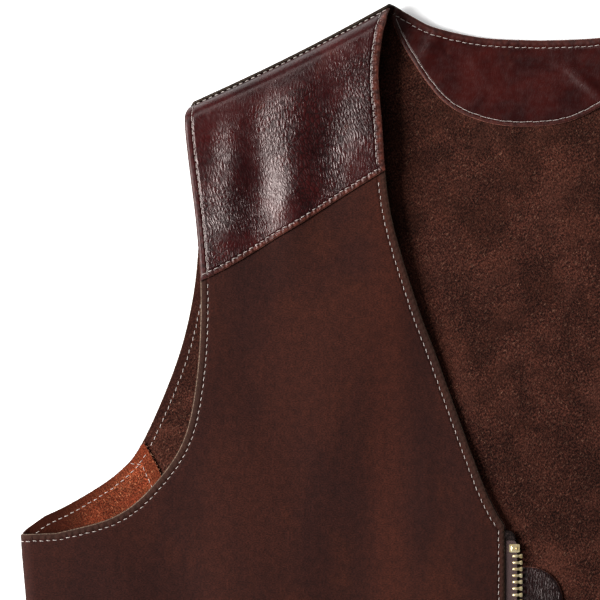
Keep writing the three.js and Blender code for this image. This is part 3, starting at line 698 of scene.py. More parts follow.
def nubuck(name):
    """The buffed grain side of the matt hide, clouded and streaked down the hide, duskier at the sides
    and rubbed redder in a strip down the chest."""
    add, finish = new_skin(name)
    at = pattern_place(add)
    streaks = noise(add, drawn_out(add, at, 3.6, 3), 24, 3, 0.55, 0.6)
    clouds = noise(add, drawn_out(add, at, 1.8, -8), 42, 4, 0.6, 0.4)
    mottle = noise(add, at, 240, 4, 0.65)
    nap = noise(add, drawn_out(add, at, 0.6), 950, 3, 0.7)
    sideways = off_middle(add)
    rubbed = times(add, ranged(add, sideways, 0.066, 0.084), ranged(add, sideways, 0.086, 0.104, 1, 0))
    colour = mixed(add, ranged(add, streaks, 0.38, 0.62), (0.0185, 0.0042, 0.0026), (0.0285, 0.0066, 0.0036))
    for wash, strength, where in (
        ((0.0400, 0.0092, 0.0042), 0.45, ranged(add, clouds, 0.5, 0.74)),
        ((0.0165, 0.0042, 0.0032), 0.5, ranged(add, noise(add, at, 17, 2, 0.5, 0.5), 0.48, 0.7)),
        ((0.0160, 0.0040, 0.0030), 0.5, ranged(add, sideways, 0.10, 0.27)),
        ((0.0430, 0.0092, 0.0044), 0.45, rubbed),
    ):
        colour = washed(add, colour, wash, strength, where)
    shade = times(
        add, ranged(add, mottle, 0.3, 0.7, 0.8, 1.2), ranged(add, nap, 0.32, 0.68, 0.5, 1.5),
        ranged(add, past_ridge(add), -0.012, -0.004, 1, 0.35),
    )
    seam, border = seam_place(add, 0.45, 1.0)
    # painted highlight: the strip between the stitches and the edge is made lighter and greyer in the colour,
    # as where it rolls off and catches the light
    colour = washed(add, tinted(add, colour, shade), (0.036, 0.019, 0.013), 0.42, border)
    surface = bump(add, plus(add, times(add, mottle, 0.6), times(add, nap, 0.4)), 0.0005)
    return finish(
        Base_Color=colour, Roughness=0.85, Specular_IOR_Level=0.12, Sheen_Weight=0.03, Sheen_Roughness=0.45,
        Sheen_Tint=(1.0, 0.62, 0.5, 1), Normal=sewn_groove(add, seam, surface),
    )


brown_nubuck = nubuck("brown_nubuck")
brown_suede = suede(
    "brown_suede", (0.0170, 0.0048, 0.0034), (0.0500, 0.0150, 0.0094), (0.130, 0.062, 0.040),
    (0.0500, 0.0148, 0.0088), (0.0400, 0.0128, 0.0084), 0.8,
)
brown_edge = raw_edge("brown_edge", (0.045, 0.028, 0.019), (0.165, 0.110, 0.078))
matt_hide = [brown_nubuck, brown_suede, brown_edge]
back = leather(
    "back_leather", "back", "dark_hide", back_cut, laid_whole(), HIDE, matt_hide, 3.6,
    fine=lambda x, y: (ridge_place(np.abs(x), y)[2] > -3) & (np.abs(x) > 60),
)

# The neck facing. A crescent of smooth glossy burgundy leather, sewn inside the back's neck along the
# neckline and along its own lower curve, with its grain side up.
facing_line = along([
    (-85.5, 292.5), (-76.5, 271.1), (-55.2, 241.4), (-31.8, 229.2), (-6.3, 226.5), (20.2, 230.8),
    (50.0, 249.0), (72.0, 272.0), (85.5, 292.5),
])
neck_side = NECKLINE[NECKLINE[:, 0] < 83]
HIDE_ON_GRAINED = (HIDE + GRAINED) / 2 + GAP
facing_cut = cut_line([
    (np.vstack([neck_side * mirror, neck_side[::-1]]), 4.2),
    (facing_line[3:-3][::-1], 2.6),
])
GRAIN_TURN = -14


def glossy(
    name, deep, middle, warm, wrinkle, gloss, pebble, patch=0.0, puckers=0.3, strip_worn=0.8, scuff=None
):
    """Glossy burgundy leather. `wrinkle` is how deep its pebbled grain is, `gloss` its roughness,
    `pebble` the grain's width in metres and `patch` how smooth the calmest patches are. The strip
    outside a row of stitches is worn warmer near the vest's middle. `scuff` is a rubbed place."""
    add, finish = new_skin(name)
    at = pattern_place(add)
    bent = at
    for scale, detail, sway in ((26, 1.0, 0.016), (240, 0.0, 0.001)):
        wander = add("TexNoise", Vector=at, Scale=scale, Detail=detail).outputs["Color"]
        moved = add("VectorMath", {"operation": "MULTIPLY_ADD"}, _0=wander, _1=(sway, sway, 0), _2=bent)
        bent = moved.outputs[0]
    drawn = drawn_out(add, bent, 2.2, GRAIN_TURN)

    def in_from_crease(wide):
        cells = add("TexVoronoi", {"feature": "DISTANCE_TO_EDGE"}, Vector=drawn, Scale=1 / wide, Randomness=1.0)
        return cells.outputs["Distance"]

    cell = in_from_crease(pebble)
    dome = ranged(add, cell, -0.16, 0.46)
    small_dome = ranged(add, in_from_crease(pebble / 2.1), 0.0, 0.4)
    pores = noise(add, drawn, 750, 2, 0.6)
    calm_patch = noise(add, drawn_out(add, at, 1.6, GRAIN_TURN), 30, 2, 0.5, 0.4)
    # the leather is stretched smooth along the shoulder ridge
    past = past_ridge(add)
    grained = times(
        add, ranged(add, calm_patch, 0.38, 0.56, 1.0 - patch, 1.0), ranged(add, past, -0.022, -0.013, 1, 0.45),
    )
    creased = times(add, ranged(add, cell, 0.0, 0.16, 1, 0), grained, wrinkle)
    colour = mixed(add, ranged(add, noise(add, at, 38, 4, 0.6, 0.6), 0.32, 0.7), deep, middle)
    colour = washed(add, colour, warm, 0.5, ranged(add, noise(add, at, 70, 3, 0.6), 0.58, 0.8))
    # painted shade: the grain's creases are darkened in the colour, as shade falls in them
    colour = washed(add, colour, tuple(c * 0.2 for c in deep), 0.75, creased)
    if scuff is not None:
        x, y, wide, bared = scuff
        away = add("VectorMath", {"operation": "DISTANCE"}, _0=vest_place(add), _1=(x, y, 0.02))
        scratches = ranged(add, noise(add, drawn_out(add, at, 2.5, 40), 520, 3, 0.7), 0.48, 0.62)
        rub = times(add, ranged(add, away.outputs["Value"], wide * 0.9, wide * 2.2, 1, 0), scratches)
        colour = washed(add, colour, bared, 0.75, rub)
    seam, border = seam_place(add, 0.5, 1.05)
    outer = ranged(add, off_middle(add), 0.168, 0.190)
    flecks = ranged(add, noise(add, at, 260, 4, 0.7), 0.36, 0.64, 0.35, 1.35)
    colour = washed(add, colour, tinted(add, mixed(add, outer, warm, middle), flecks), strip_worn, border)
    rough = plus(
        add, ranged(add, noise(add, at, 240, 3, 0.6), 0.3, 0.7, gloss - 0.05, gloss + 0.08),
        times(add, ranged(add, seam[0], 0.2, 0.9, 0.2, 0), seam[2]),
        ranged(add, past, -0.022, -0.010, 0, -0.025), times(add, creased, 0.06),
    )
    height = times(add, plus(add, dome, times(add, small_dome, 0.2)), grained, wrinkle)
    height = plus(add, height, times(add, pores, 0.3))
    calm_border = maths(add, "SUBTRACT", 1.0, times(add, border, 0.6))
    surface = bump(add, times(add, height, calm_border), 0.00021)
    puckered = times(add, maths(add, "SUBTRACT", 1.0, times(add, outer, 0.85)), puckers)
    return finish(
        Base_Color=colour, Roughness=rough, Specular_IOR_Level=0.36, Specular_Tint=(1.0, 0.86, 0.83, 1),
        Normal=sewn_groove(add, seam, surface, puckered),
    )


burgundy_smooth = glossy(
    "burgundy_smooth", (0.0155, 0.0020, 0.0019), (0.037, 0.0044, 0.0034), (0.060, 0.0130, 0.0085),
    0.16, 0.32, 0.0014, puckers=0.08, strip_worn=0.45,
)
burgundy_edge = raw_edge("burgundy_edge", (0.080, 0.024, 0.017), (0.24, 0.090, 0.064), (0.182, 0.190))
burgundy_flesh = suede(
    "burgundy_flesh", (0.09, 0.022, 0.010), (0.26, 0.070, 0.028), (0.48, 0.20, 0.10),
    (0.22, 0.045, 0.020), (0.19, 0.065, 0.030),
)
# middle x and y, turn in degrees, length, width and height of its few soft creases
FACING_CREASES = [
    (26, 250, 52, 15, 3.2, 1.6), (-34, 258, 40, 14, 4, 0.5), (-62, 270, -30, 12, 4.5, 0.9),
    (2, 246, 70, 16, 5, 0.5), (46, 262, -20, 12, 4, 0.5),
]
facing_lay = laid_whole(lambda x, y: -HIDE_ON_GRAINED - crease_height(FACING_CREASES, x, y))
leather(
    "neck_facing_leather", "neck_facing", "burgundy_hide", facing_cut, facing_lay, GRAINED,
    [burgundy_flesh, burgundy_smooth, burgundy_edge], 1.9, [back],
)

# The side panels. Burgundy leather, grain side out, whose rough orange-tan flesh side shows inside the
# armhole. Each is sewn inside the back's lapped edge and meets its front at the side fold.
SIDE_SEAM, FRONT_HEM = 1.5, -350
# its last pair of numbers is where painted shade darkens the hollow inside the side fold
orange_suede = suede(
    "orange_suede", (0.068, 0.0125, 0.0050), (0.205, 0.042, 0.0165), (0.60, 0.235, 0.110),
    (0.195, 0.030, 0.0115), (0.190, 0.050, 0.0190), 0.95, (0.224, 0.272),
)
burgundy_pebbled = glossy(
    "burgundy_pebbled", (0.0150, 0.0023, 0.0027), (0.036, 0.0052, 0.0052), (0.078, 0.0185, 0.0110),
    1.0, 0.305, 0.00155, 0.42, puckers=0.4, scuff=(-0.1060, 0.2045, 0.0024, (0.17, 0.048, 0.020)),
)


def shifted(side, points):
    return points + np.stack([spread_at(side, points[:, 1]), np.zeros(len(points))], -1)


def side_cut(side):
    down = np.linspace(HEM, 0, 175)
    past_fold = math.pi / 2 * SIDE_ROLL - SIDE_SEAM - GAP / 2 - spread_at(side, down) / 2
    fold = fold_at(side, down) - SIDE_ROLL + past_fold
    armhole = rows(BACK_ARMHOLE, -9, 50)
    armhole = armhole[armhole[:, 0] < fold[-1] - 3][::-1]
    up = np.linspace(50.5, HEM, 190)
    return cut_line([
        (np.stack([fold, down], -1), 0),
        (np.vstack([evenly(np.vstack([[(fold[-1], 0)], armhole[:1]]), 2.0), armhole]), 5.0),
        (np.stack([back_seam(up), up], -1), 7.5),
        (line([back_seam(HEM), fold[0]], [HEM, HEM]), HEM_INSET),
    ])


def side_level(u, y):
    """The panel lies on the back along their seam, and comes down to its level beyond the lap."""
    return -HIDE_ON_GRAINED * (1 - smooth((u - back_seam(y) - BACK_LAP - 3) / 13))


def near_fold(side):
    return lambda u, y: u > fold_at(side, y) - SIDE_ROLL - 2


side_cuts, side_pieces = {}, {}
for side in (RIGHT, LEFT):
    side_cuts[side] = cut = side_cut(side)
    side_pieces[side] = leather(
        f"side_{side.name}_leather", f"side_{side.name}", "burgundy_hide", cut, laid(lower, side, side_level),
        GRAINED, [burgundy_pebbled, orange_suede, burgundy_edge], 2.6, [back],
        shift=400 * side.sign, fine=near_fold(side),
    )

# The zip guard and the left zip facing. Straight strips of dark pebbled leather under the fronts: the
# right one runs out past the teeth with a rounded top corner, the left one only backs the zip tape.
TAPE = 1.0
TAPE_LEVEL = -(HIDE / 2 + GAP + TAPE / 2)
GUARD_LEVEL = TAPE_LEVEL - TAPE / 2 - GAP - GRAINED / 2
ROOM_UNDER_TEETH = (2.6 - TAPE) / 2
ZIP_EDGE, ZIP_TOP = 20.3, 4.6
GUARD_EDGE, GUARD_TOP, GUARD_CORNER, GUARD_HEM = -12.3, -18.3, 19, FRONT_HEM + 2
V_NECK = along([
    (ZIP_EDGE, ZIP_TOP), (31.8, 26.9), (57.4, 97.1), (69.6, 130.0), (83.9, 179.8), (88.9, 232.9),
    (90.4, 256.0), (88.4, 275.6), (86.1, 285.6), (86.8, 298.0), (88.0, 304.0),
])
guard_dark = glossy(
    "guard_dark", (0.0072, 0.0020, 0.0022), (0.0135, 0.0034, 0.0036), (0.036, 0.010, 0.008),
    0.9, 0.37, 0.0016, 0.3,
)
hidden_top = np.vstack([rows(V_NECK, 0, 27) - (0.8, 0), [(44, 29)], [(38, GUARD_HEM)]])
corner = np.radians(np.linspace(180, 90, 16))
corner_middle = np.array([GUARD_EDGE, GUARD_TOP]) + GUARD_CORNER * np.array([1, -1])
guard_cut = cut_line([
    (line([GUARD_EDGE] * 2, [GUARD_HEM, -40]), 0),
    (corner_middle + GUARD_CORNER * np.stack([np.cos(corner), np.sin(corner)], -1), 0),
    (line([ZIP_EDGE - 1.6, *hidden_top[:, 0]], [GUARD_TOP, *hidden_top[:, 1]]), 0),
    (line([38, GUARD_EDGE], [GUARD_HEM] * 2), 0),
])
facing_strip = line([ZIP_EDGE + 1.2, *hidden_top[:, 0]], [GUARD_HEM, *hidden_top[:, 1]])
strip_cut = cut_line([(shifted(LEFT, facing_strip), 0)])


def under_teeth(u, y):
    return GUARD_LEVEL - ROOM_UNDER_TEETH * smooth((25 - u) / 7)


dark_skins = [guard_dark, burgundy_flesh, burgundy_edge]
under_tape = {
    RIGHT: leather(
        "zip_guard_leather", "zip_guard_right", "burgundy_hide", guard_cut, laid(upper, RIGHT, under_teeth),
        GRAINED, dark_skins, 2.2, [back],
    ),
    LEFT: leather(
        "zip_facing_leather", "zip_facing_left", "burgundy_hide", strip_cut, laid(upper, LEFT, GUARD_LEVEL),
        GRAINED, dark_skins, 2.4, [back], shift=300,
    ),
}

# The fronts. Matt dark brown nubuck, cut with a V neck, a straight zip edge and a curved armhole. The
# top goes under the yoke, and a raw edge shows all round outside one row of stitches.
YOKE_LAP, SOFT_BEVEL = 10, 0.45
FRONT_ARMHOLE = along([
    (199.0, 250.0), (197.6, 240.0), (197.7, 227.0), (195.9, 208.4), (191.1, 168.1), (188.9, 130.0),
    (191.1, 87.5), (198.5, 52.4), (215.6, 26.9), (236.8, 9.9), (268.7, 0.9),
])
yoke_seam = reader([(215, 127), (189.7, 140), (172.8, 148.6), (133.9, 172.2), (86.1, 202.2), (60, 218)])


def top_at(u):
    return yoke_seam(u) + YOKE_LAP / ACROSS[1]


def front_cut(side):
    down = np.linspace(FRONT_HEM, 0, 178)
    past_fold = math.pi / 2 * SIDE_ROLL + SIDE_SEAM - GAP / 2 + spread_at(side, down) / 2
    fold = np.stack([fold_at(side, down) - SIDE_ROLL + past_fold, down], -1)
    armhole = shifted(side, rows(FRONT_ARMHOLE, 0, top_at(190.0)))[::-1]
    armhole = np.vstack([evenly(np.vstack([fold[-1:], armhole[:1]]), 2.0), armhole])
    neck = shifted(side, rows(V_NECK, ZIP_TOP - 1, top_at(87.0)))
    across_top = np.linspace(armhole[-1, 0] - 1.5, neck[-1, 0] + 1.5, 60)
    lean = spread_at(side, top_at(across_top))
    top = np.stack([across_top, top_at(across_top - lean)], -1)
    down_zip = np.linspace(ZIP_TOP, FRONT_HEM, 180)
    zip_edge = np.stack([ZIP_EDGE + spread_at(side, down_zip), down_zip], -1)
    hem = line([zip_edge[-1, 0], fold[0, 0]], [FRONT_HEM] * 2)
    return cut_line([(fold, 0), (armhole, 4.0), (top, 0), (neck[::-1], 4.4), (zip_edge, 3.3), (hem, HEM_INSET)])


front_cuts, fronts = {}, {}
for side in (RIGHT, LEFT):
    front_cuts[side] = cut = front_cut(side)
    fronts[side] = leather(
        f"front_{side.name}_leather", f"front_{side.name}", "dark_hide", cut, laid(upper, side), HIDE,
        matt_hide, 3.1, [back, side_pieces[side]],
        shift=900 * side.sign, bevel=SOFT_BEVEL, fine=near_fold(side),
    )

# The yokes. Pebble-grained glossy burgundy leather over the shoulder: the lower edge is lapped over
# the front and stitched down, and the top edge runs over the ridge and under the back's edge.
RIDGE_LAP, RIDGE_ROOM = 8, 0.2


def yoke_cut(side):
    seam_u = np.linspace(189.4, 86.4, 60)
    neck = rows(V_NECK, 0, 297)
    neck = neck[neck[:, 1] > yoke_seam(86.0) + 1]
    armhole = rows(FRONT_ARMHOLE, yoke_seam(189.0) + 1, 246)
    seam = np.stack([seam_u, yoke_seam(seam_u)], -1)
    parts = [(seam, 2.9), (neck, 4.4), (ridge_line(-1, RIDGE_LAP), 0), (armhole, 4.0)]
    return cut_line([(shifted(side, points), inset) for points, inset in parts])


def yoke_level(side):
    def level(u, y):
        up = (y - yoke_seam(u - spread_at(side, y))) * ACROSS[1]
        share, radius, past = ridge_place(u, y)
        to_edge = math.pi / 2 * radius - back_lap(share) - past
        over_front = HIDE_ON_GRAINED * (1 - smooth((up - YOKE_LAP - 3) / 20))
        return over_front - (HIDE_ON_GRAINED + RIDGE_ROOM) * (1 - smooth((to_edge - 1) / 11))

    return level


yoke_cuts = {}
for side in (RIGHT, LEFT):
    yoke_cuts[side] = cut = yoke_cut(side)
    leather(
        f"yoke_{side.name}_leather", f"yoke_{side.name}", "burgundy_hide", cut,
        laid(upper, side, yoke_level(side)), GRAINED, [burgundy_pebbled, burgundy_flesh, burgundy_edge], 1.7,
        [fronts[side]], shift=500 * side.sign, bevel=SOFT_BEVEL, fine=lambda u, y: ridge_place(u, y)[2] > -6,
    )

# The zip's tapes. Woven twill in a purple-grey, sewn under each front's edge, with the inner edge for
# the teeth to grip. The cut top end is doubled over on itself and matted there, and darker, partly of its own
# colour and partly with painted shade.
TAPE_BEAD, TAPE_OUTER, TAPE_TOP, TAPE_FOOT = 13.2, 34, -2.6, -347
add, finish = new_skin("twill_tape")
at = pattern_place(add)
turned = add("Mapping", Vector=at, Rotation=(0, 0, math.radians(35))).outputs[0]
twill = add("TexWave", {"bands_direction": "X"}, Vector=turned, Scale=520.0, Distortion=0.6, Detail=2.0)
threads = add("TexWave", {"bands_direction": "Y"}, Vector=at, Scale=640.0, Distortion=0.8, Detail=1.0)
weave = plus(add, twill.outputs["Fac"], times(add, threads.outputs["Fac"], 0.5))
twill_tape = finish(
    Base_Color=mixed(add, ranged(add, weave, 0.35, 1.1), (0.019, 0.0095, 0.010), (0.116, 0.064, 0.061)),
    Roughness=0.85, Specular_IOR_Level=0.25, Sheen_Weight=0.15, Normal=bump(add, weave, 0.00025),
)
# the folded end's colour: dark partly of its own and partly with painted shade of the fold
add, finish = new_skin("folded_tape")
strands = noise(add, vest_place(add), 1100, 3, 0.7)
folded_tape = finish(
    Base_Color=mixed(add, ranged(add, strands, 0.45, 0.72), (0.006, 0.0032, 0.0028), (0.034, 0.020, 0.018)),
    Roughness=0.8, Specular_IOR_Level=0.12, Normal=bump(add, strands, 0.0004),
)


def rides(name, spots, faces, skin, rounded=True):
    """A small piece that rides with the vest."""
    piece = new_piece(name, spots, faces, [skin], rounded)
    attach(piece, "vest")


def tape_fold(side):
    """The tape's end, doubled over on itself in a small lump above the stop, dark partly of itself and partly
    with painted shade.
    """
    wide, deep = 15, 11
    left, foot, length, height = 13.9, -3.6, 8.5, 6.2
    u, y = np.meshgrid(
        np.linspace(left, left + length, wide), np.linspace(foot, foot + height, deep), indexing="ij"
    )
    s, t = (u - left) / length, (y - foot) / height
    y = foot + t * height * np.sqrt(np.clip(1 - (1 - s) ** 3, 0.03, 1)) + 0.3 * np.sin(9 * s) * t
    arch = (np.sin(math.pi * np.clip(t, 0, 1)) * np.clip(4 * s, 0, 1)) ** 0.6
    high = 0.5 + 1.0 * arch + 0.22 * np.sin(7.5 * s + 5 * t) * arch
    flat = shifted(side, np.stack([u.ravel(), y.ravel()], -1))
    seat = laid(upper, side, TAPE_LEVEL)(*flat.T, np.zeros(u.size))
    top, under = seat.copy(), seat.copy()
    top[:, 2] += high.ravel() * MM
    under[:, 2] -= 0.3 * MM
    at = np.arange(wide * deep).reshape(wide, deep)
    rim = np.concatenate([at[:, 0], at[-1, 1:], at[-2::-1, -1], at[0, -2:0:-1]])
    quads = np.stack([at[:-1, :-1], at[1:, :-1], at[1:, 1:], at[:-1, 1:]], -1).reshape(-1, 4)
    below = quads[:, ::-1] + wide * deep
    walls = np.stack([rim, np.roll(rim, -1), np.roll(rim, -1) + wide * deep, rim + wide * deep], -1)[:, ::-1]
    faces = np.vstack([quads, below, walls])
    if side is RIGHT:
        faces = faces[:, ::-1]
    rides(f"zip_tape_{side.name}_folded_end", np.vstack([top, under]), faces.tolist(), folded_tape)


for side in (RIGHT, LEFT):
    outline = line(
        [TAPE_OUTER, TAPE_OUTER, 15.4, TAPE_BEAD, TAPE_BEAD, TAPE_OUTER],
        [TAPE_FOOT, TAPE_TOP, TAPE_TOP, TAPE_TOP - 3, TAPE_FOOT, TAPE_FOOT],
    )
    leather(
        f"zip_tape_{side.name}_woven", f"zip_tape_{side.name}", "zip_tape",
        cut_line([(shifted(side, outline[:-1]), 0)]), laid(upper, side, TAPE_LEVEL), TAPE,
        [twill_tape] * 3, 2.4, [under_tape[side]],
        flat=(0.0208, 0.3444), shift=700 * side.sign, bevel=0.25,
    )
for side in (RIGHT, LEFT):
    tape_fold(side)

# The zip's teeth and metal ends. Yellow brass, a little dulled: each tooth is clamped over the tape's
# edge by its two legs and ends in a cupped head. Stops, pin, box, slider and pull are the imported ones.
add, finish = new_skin("brass")
dull = noise(add, vest_place(add), 420, 4, 0.6)
brass = finish(
    Base_Color=mixed(add, ranged(add, dull, 0.35, 0.7), (0.52, 0.39, 0.19), (0.95, 0.83, 0.54)),
    Roughness=ranged(add, dull, 0.3, 0.7, 0.42, 0.24), Metallic=0.66,
    Normal=bump(add, noise(add, vest_place(add), 1400, 2, 0.5), 0.00006),
)
for fitting in ("zip_stop_right", "zip_stop_left", "zip_pin_right", "zip_box_left", "zip_slider", "zip_pull"):
    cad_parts[fitting].data.materials.clear()
    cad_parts[fitting].data.materials.append(brass)

TOOTH_PITCH, FIRST_TOOTH, LAST_TOOTH, TOOTH_CORNER = 3.6, -12.3, -322.0, 0.35
# along the tooth: place, half width, half thickness, and how deep the cup's groove is
TOOTH = [
    (15.9, 0.40, 0.85, 0.0), (15.6, 0.72, 1.2, 0.0), (14.2, 0.85, 1.3, 0.0), (12.9, 0.80, 1.25, 0.0),
    (12.4, 0.62, 1.0, 0.1), (11.8, 0.90, 1.05, 0.3), (11.1, 1.18, 1.1, 0.6), (10.5, 1.20, 1.0, 0.75),
    (10.3, 1.02, 0.85, 0.6),
]


def tube(first, rings, around):
    """The faces of a closed tube of rings, whose corners are counted from the first one."""
    faces = []
    for r in range(rings - 1):
        for k in range(around):
            a, b = first + r * around + k, first + r * around + (k + 1) % around
            faces.append((a, b, b + around, a + around))
    last = first + (rings - 1) * around
    return faces + [tuple(range(first, first + around))[::-1], tuple(range(last, last + around))]


def zip_teeth(side):
    rings = []
    for place, wide, high, groove in TOOTH:
        low = high * TOOTH_CORNER
        section = [
            (wide, -low), (wide, low), (wide * 0.7, high), (0, high - groove), (-wide * 0.7, high),
            (-wide, low), (-wide, -low), (-wide * 0.7, -high), (0, groove - high), (wide * 0.7, -high),
        ]
        rings.append([(place, off, up) for off, up in section])
    tooth = np.array(rings)
    heights = np.arange(FIRST_TOOTH, LAST_TOOTH, -TOOTH_PITCH)
    opened = spread_at(side, heights)
    seats = laid(upper, side, TAPE_LEVEL)(TAPE_BEAD + opened, heights, np.zeros(len(heights)))
    spots, faces = [], []
    for y, spread, seat in zip(heights, opened, seats):
        faces += tube(len(spots), *tooth.shape[:2])
        for u, off, up in tooth.reshape(-1, 3):
            spots.append(((u + spread) * side.sign * MM, (y + off) * MM, seat[2] + up * MM))
    if side is LEFT:
        faces = [f[::-1] for f in faces]
    rides(f"zip_teeth_{side.name}", spots, faces, brass)


def stop_pressing(side):
    """The raised square that the tool leaves on a stop when it is clamped on the tape."""
    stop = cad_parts[f"zip_stop_{side.name}"]
    spots = np.array([stop.matrix_world @ v.co for v in stop.data.vertices])
    low, high = spots.min(0), spots.max(0)
    middle, half = (low + high) / 2, (high - low) / 2
    rings = []
    for share, up in ((0.66, -0.25), (0.62, 0.16), (0.52, 0.34), (0.36, 0.34), (0.30, 0.10)):
        flat = middle[:2] + np.array(SQUARE) * half[:2] * share
        rings += [(x, y, high[2] + up * MM) for x, y in flat]
    rides(f"zip_stop_{side.name}_pressing", rings, tube(0, 5, 4), brass, rounded=False)


for side in (RIGHT, LEFT):
    zip_teeth(side)
    stop_pressing(side)

# The topstitching. One row of cream thread along each edge and seam, about 3.7 mm to the stitch: every
# stitch comes up out of its hole, lies a little aslant on the leather and goes down again.
add, finish = new_skin("cream_thread")
plies = noise(add, vest_place(add), 1300, 2, 0.6)
thread = finish(
    Base_Color=mixed(add, ranged(add, plies, 0.3, 0.7), (0.28, 0.23, 0.205), (0.54, 0.47, 0.43)),
    Roughness=0.6, Sheen_Weight=0.2, Normal=bump(add, plies, 0.0002),
)
STITCH, THREAD, ALOFT, SUNK = 2.45, 0.18, 0.2, 0.30


def stitch_line(cut, part, keep=None):
    """The row's path, inset from one part of a cutting line."""
    here = cut.part == part
    path = cut.points[here] + cut.inward[here] * cut.inset[here][:, None]
    start = np.flatnonzero(here)
    if start[0] == 0 and start[-1] == len(here) - 1:
        gap = int(np.argmax(np.diff(start))) + 1
        path = np.vstack([path[gap:], path[:gap]])
    if keep is not None:
        path = path[keep(path[:, 0], path[:, 1])]
    return evenly(path, 0.5)


def sew(name, path, lay, face, tight=0.0):
    """A row of stitches on the piece's face, `face` from its middle; below 0 it is the inward face. The
    stitches of a tight row are longer and leave less of a gap, and at 1 they nearly meet."""
    stitch, dip, slender = STITCH + 1.1 * tight, 0.25 * tight - SUNK, 0.55 + 0.3 * tight
    lengths = lengths_along(path)
    starts = np.arange((lengths[-1] % PITCH) / 2 + 0.5, lengths[-1] - stitch, PITCH)
    count, rings, around = len(starts), 5, 6
    # share of its length, height over the leather and share of the thread's width
    shares, heights, widths = np.array([
        (0.0, dip, slender), (0.12, 0.06, 0.9), (0.5, ALOFT, 1.0), (0.88, 0.06, 0.9), (1.0, dip, slender),
    ]).T
    at = (starts[:, None] + shares * stitch).ravel()

    def path_at(far):
        return np.stack([np.interp(far, lengths, path[:, k]) for k in range(2)])

    tangent = path_at(at + 0.2) - path_at(at - 0.2)
    tangent /= np.hypot(*tangent)
    slant = np.tile((shares - 0.5) * (0.36 - 0.24 * tight), count)
    uneven = 0.12 * np.sin(np.repeat(np.arange(count) * 2.4, rings)) + slant
    u, y = path_at(at) + np.array([-tangent[1], tangent[0]]) * uneven
    up = 1.0 if face > 0 else -1.0
    out = face + up * np.tile(heights, count)
    middle = lay(u, y, out)
    rise = lay(u, y, out + up * 0.1) - middle
    rise /= np.linalg.norm(rise, axis=1)[:, None]
    ahead = middle.reshape(-1, rings, 3)
    ahead = np.repeat((ahead[:, -1] - ahead[:, 0])[:, None], rings, 1).reshape(-1, 3)
    across = np.cross(ahead, rise)
    across /= np.linalg.norm(across, axis=1)[:, None]
    radius = np.tile(widths, count) * (1 - 0.2 * tight) * THREAD * MM
    angles = (np.arange(around) * 2 * math.pi / around)[None, :, None]
    ring = np.cos(angles) * across[:, None] + np.sin(angles) * rise[:, None]
    spots = middle[:, None] + radius[:, None, None] * ring
    faces = [(f[0], *f[:0:-1]) for s in range(count) for f in tube(s * rings * around, rings, around)]
    rides(name, spots.reshape(-1, 3), faces, thread)


SEAM_ROW_TOP = (230.3, 39.2)
for side in (RIGHT, LEFT):
    front_lay, yoke_lay = laid(upper, side), laid(upper, side, yoke_level(side))
    side_lay = laid(lower, side, side_level)
    below_yoke = lambda u, y: y < yoke_seam(u - spread_at(side, y)) - 1.5
    for part, edge in ((1, "armhole"), (3, "neck"), (4, "zip"), (5, "hem")):
        row = stitch_line(front_cuts[side], part, below_yoke)
        sew(f"front_{side.name}_{edge}_stitches", row, front_lay, HIDE / 2)
    for part, edge, tight in ((0, "seam", 0.0), (1, "neck", 0.55), (3, "armhole", 0.55)):
        row = stitch_line(yoke_cuts[side], part)
        sew(f"yoke_{side.name}_{edge}_stitches", row, yoke_lay, GRAINED / 2, tight)
    ditch = shifted(side, evenly(ridge_line(-1, -0.7), 0.5))
    sew(f"yoke_{side.name}_ridge_stitches", ditch, yoke_lay, GRAINED / 2)
    for part, edge in ((1, "armhole"), (3, "hem")):
        sew(f"side_{side.name}_{edge}_stitches", stitch_line(side_cuts[side], part), side_lay, -GRAINED / 2)
    seam_row = stitch_line(side_cuts[side], 2, lambda u, y: y < SEAM_ROW_TOP[1] + 0.6)
    if seam_row[0, 1] < seam_row[-1, 1]:
        seam_row = seam_row[::-1]
    seam_row = evenly(np.vstack([[SEAM_ROW_TOP], seam_row]), 0.5)
    sew(f"side_{side.name}_seam_stitches", seam_row, side_lay, -GRAINED / 2)
for part, edge in ((1, "armhole_left"), (6, "armhole_right"), (8, "hem")):
    row = stitch_line(back_cut, part, lambda x, y: (y > 47) | (y < -340))
    sew(f"back_{edge}_stitches", row, laid_whole(), -HIDE / 2)
for part, edge, tight in ((0, "neckline", 0.4), (1, "curve", 1.0)):
    sew(f"facing_{edge}_stitches", stitch_line(facing_cut, part), facing_lay, -GRAINED / 2, tight)

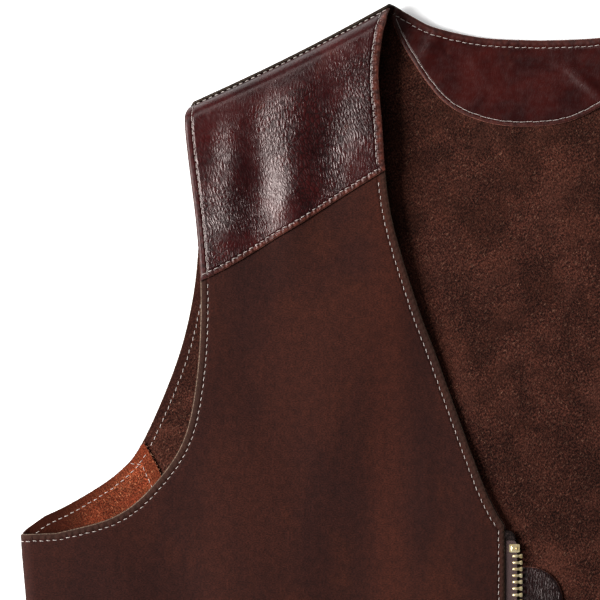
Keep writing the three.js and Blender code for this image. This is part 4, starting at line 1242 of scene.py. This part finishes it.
# The loose fibres. The suede of the side panels is not trimmed: along its cut edges short hairs of hide
# stand out from it, curled and uneven in length, a few of them longer.
add, finish = new_skin("hide_fibre")
along_hair = noise(add, vest_place(add), 600, 2, 0.6)
hide_fibre = finish(
    Base_Color=mixed(add, ranged(add, along_hair, 0.35, 0.65), (0.17, 0.045, 0.020), (0.42, 0.20, 0.11)),
    Roughness=0.8, Normal=bump(add, along_hair, 0.0001),
)
FIBRE, LONG_FIBRE, FEW_LONG = 0.055, 2.4, 0.06
chance = np.random.default_rng(11)


def loose_fibres(name, cut, part, keep, lay, face, count):
    here = (cut.part == part) & keep(cut.points[:, 0], cut.points[:, 1])
    root, inward = cut.points[here], cut.inward[here]
    pick = chance.integers(0, len(root), count)
    lean = chance.normal(0, 0.6, count)
    u, y = -inward[pick].T
    out = np.stack([u * np.cos(lean) - y * np.sin(lean), u * np.sin(lean) + y * np.cos(lean)], -1)
    long = np.where(chance.random(count) < FEW_LONG, LONG_FIBRE, 0.35 + 0.75 * chance.random(count))
    curl = chance.normal(0, 0.35, count)
    steps = np.linspace(0, 1, 4)
    spots, faces = [], []
    for i in range(count):
        sideways = np.array([-out[i, 1], out[i, 0]])
        flat = root[pick[i]] + inward[pick[i]] * 0.3 + out[i] * (steps * long[i])[:, None]
        flat = flat + sideways * (steps**2 * curl[i] * long[i])[:, None]
        middle = lay(flat[:, 0], flat[:, 1], face + 0.12 * np.sin(steps * 2.5) * np.sign(face))
        ahead = middle[-1] - middle[0]
        across = np.cross(ahead, (0, 0, 1))
        across /= np.linalg.norm(across)
        rise = np.cross(across, ahead / np.linalg.norm(ahead))
        faces += tube(len(spots), 4, 3)
        for step, spot in zip(steps, middle):
            for a in np.arange(3) * 2 * math.pi / 3:
                spots.append(spot + (1 - 0.6 * step) * FIBRE * MM * (math.cos(a) * across + math.sin(a) * rise))
    rides(name, spots, faces, hide_fibre)


for side in (RIGHT, LEFT):
    side_lay, face = laid(lower, side, side_level), -GRAINED / 2 + 0.2
    for edge, part, keep, count in (
        ("seam", 2, lambda u, y: y > 8, 240), ("armhole", 1, lambda u, y: u < 268, 150),
    ):
        loose_fibres(f"side_{side.name}_{edge}_fibres", side_cuts[side], part, keep, side_lay, face, count)
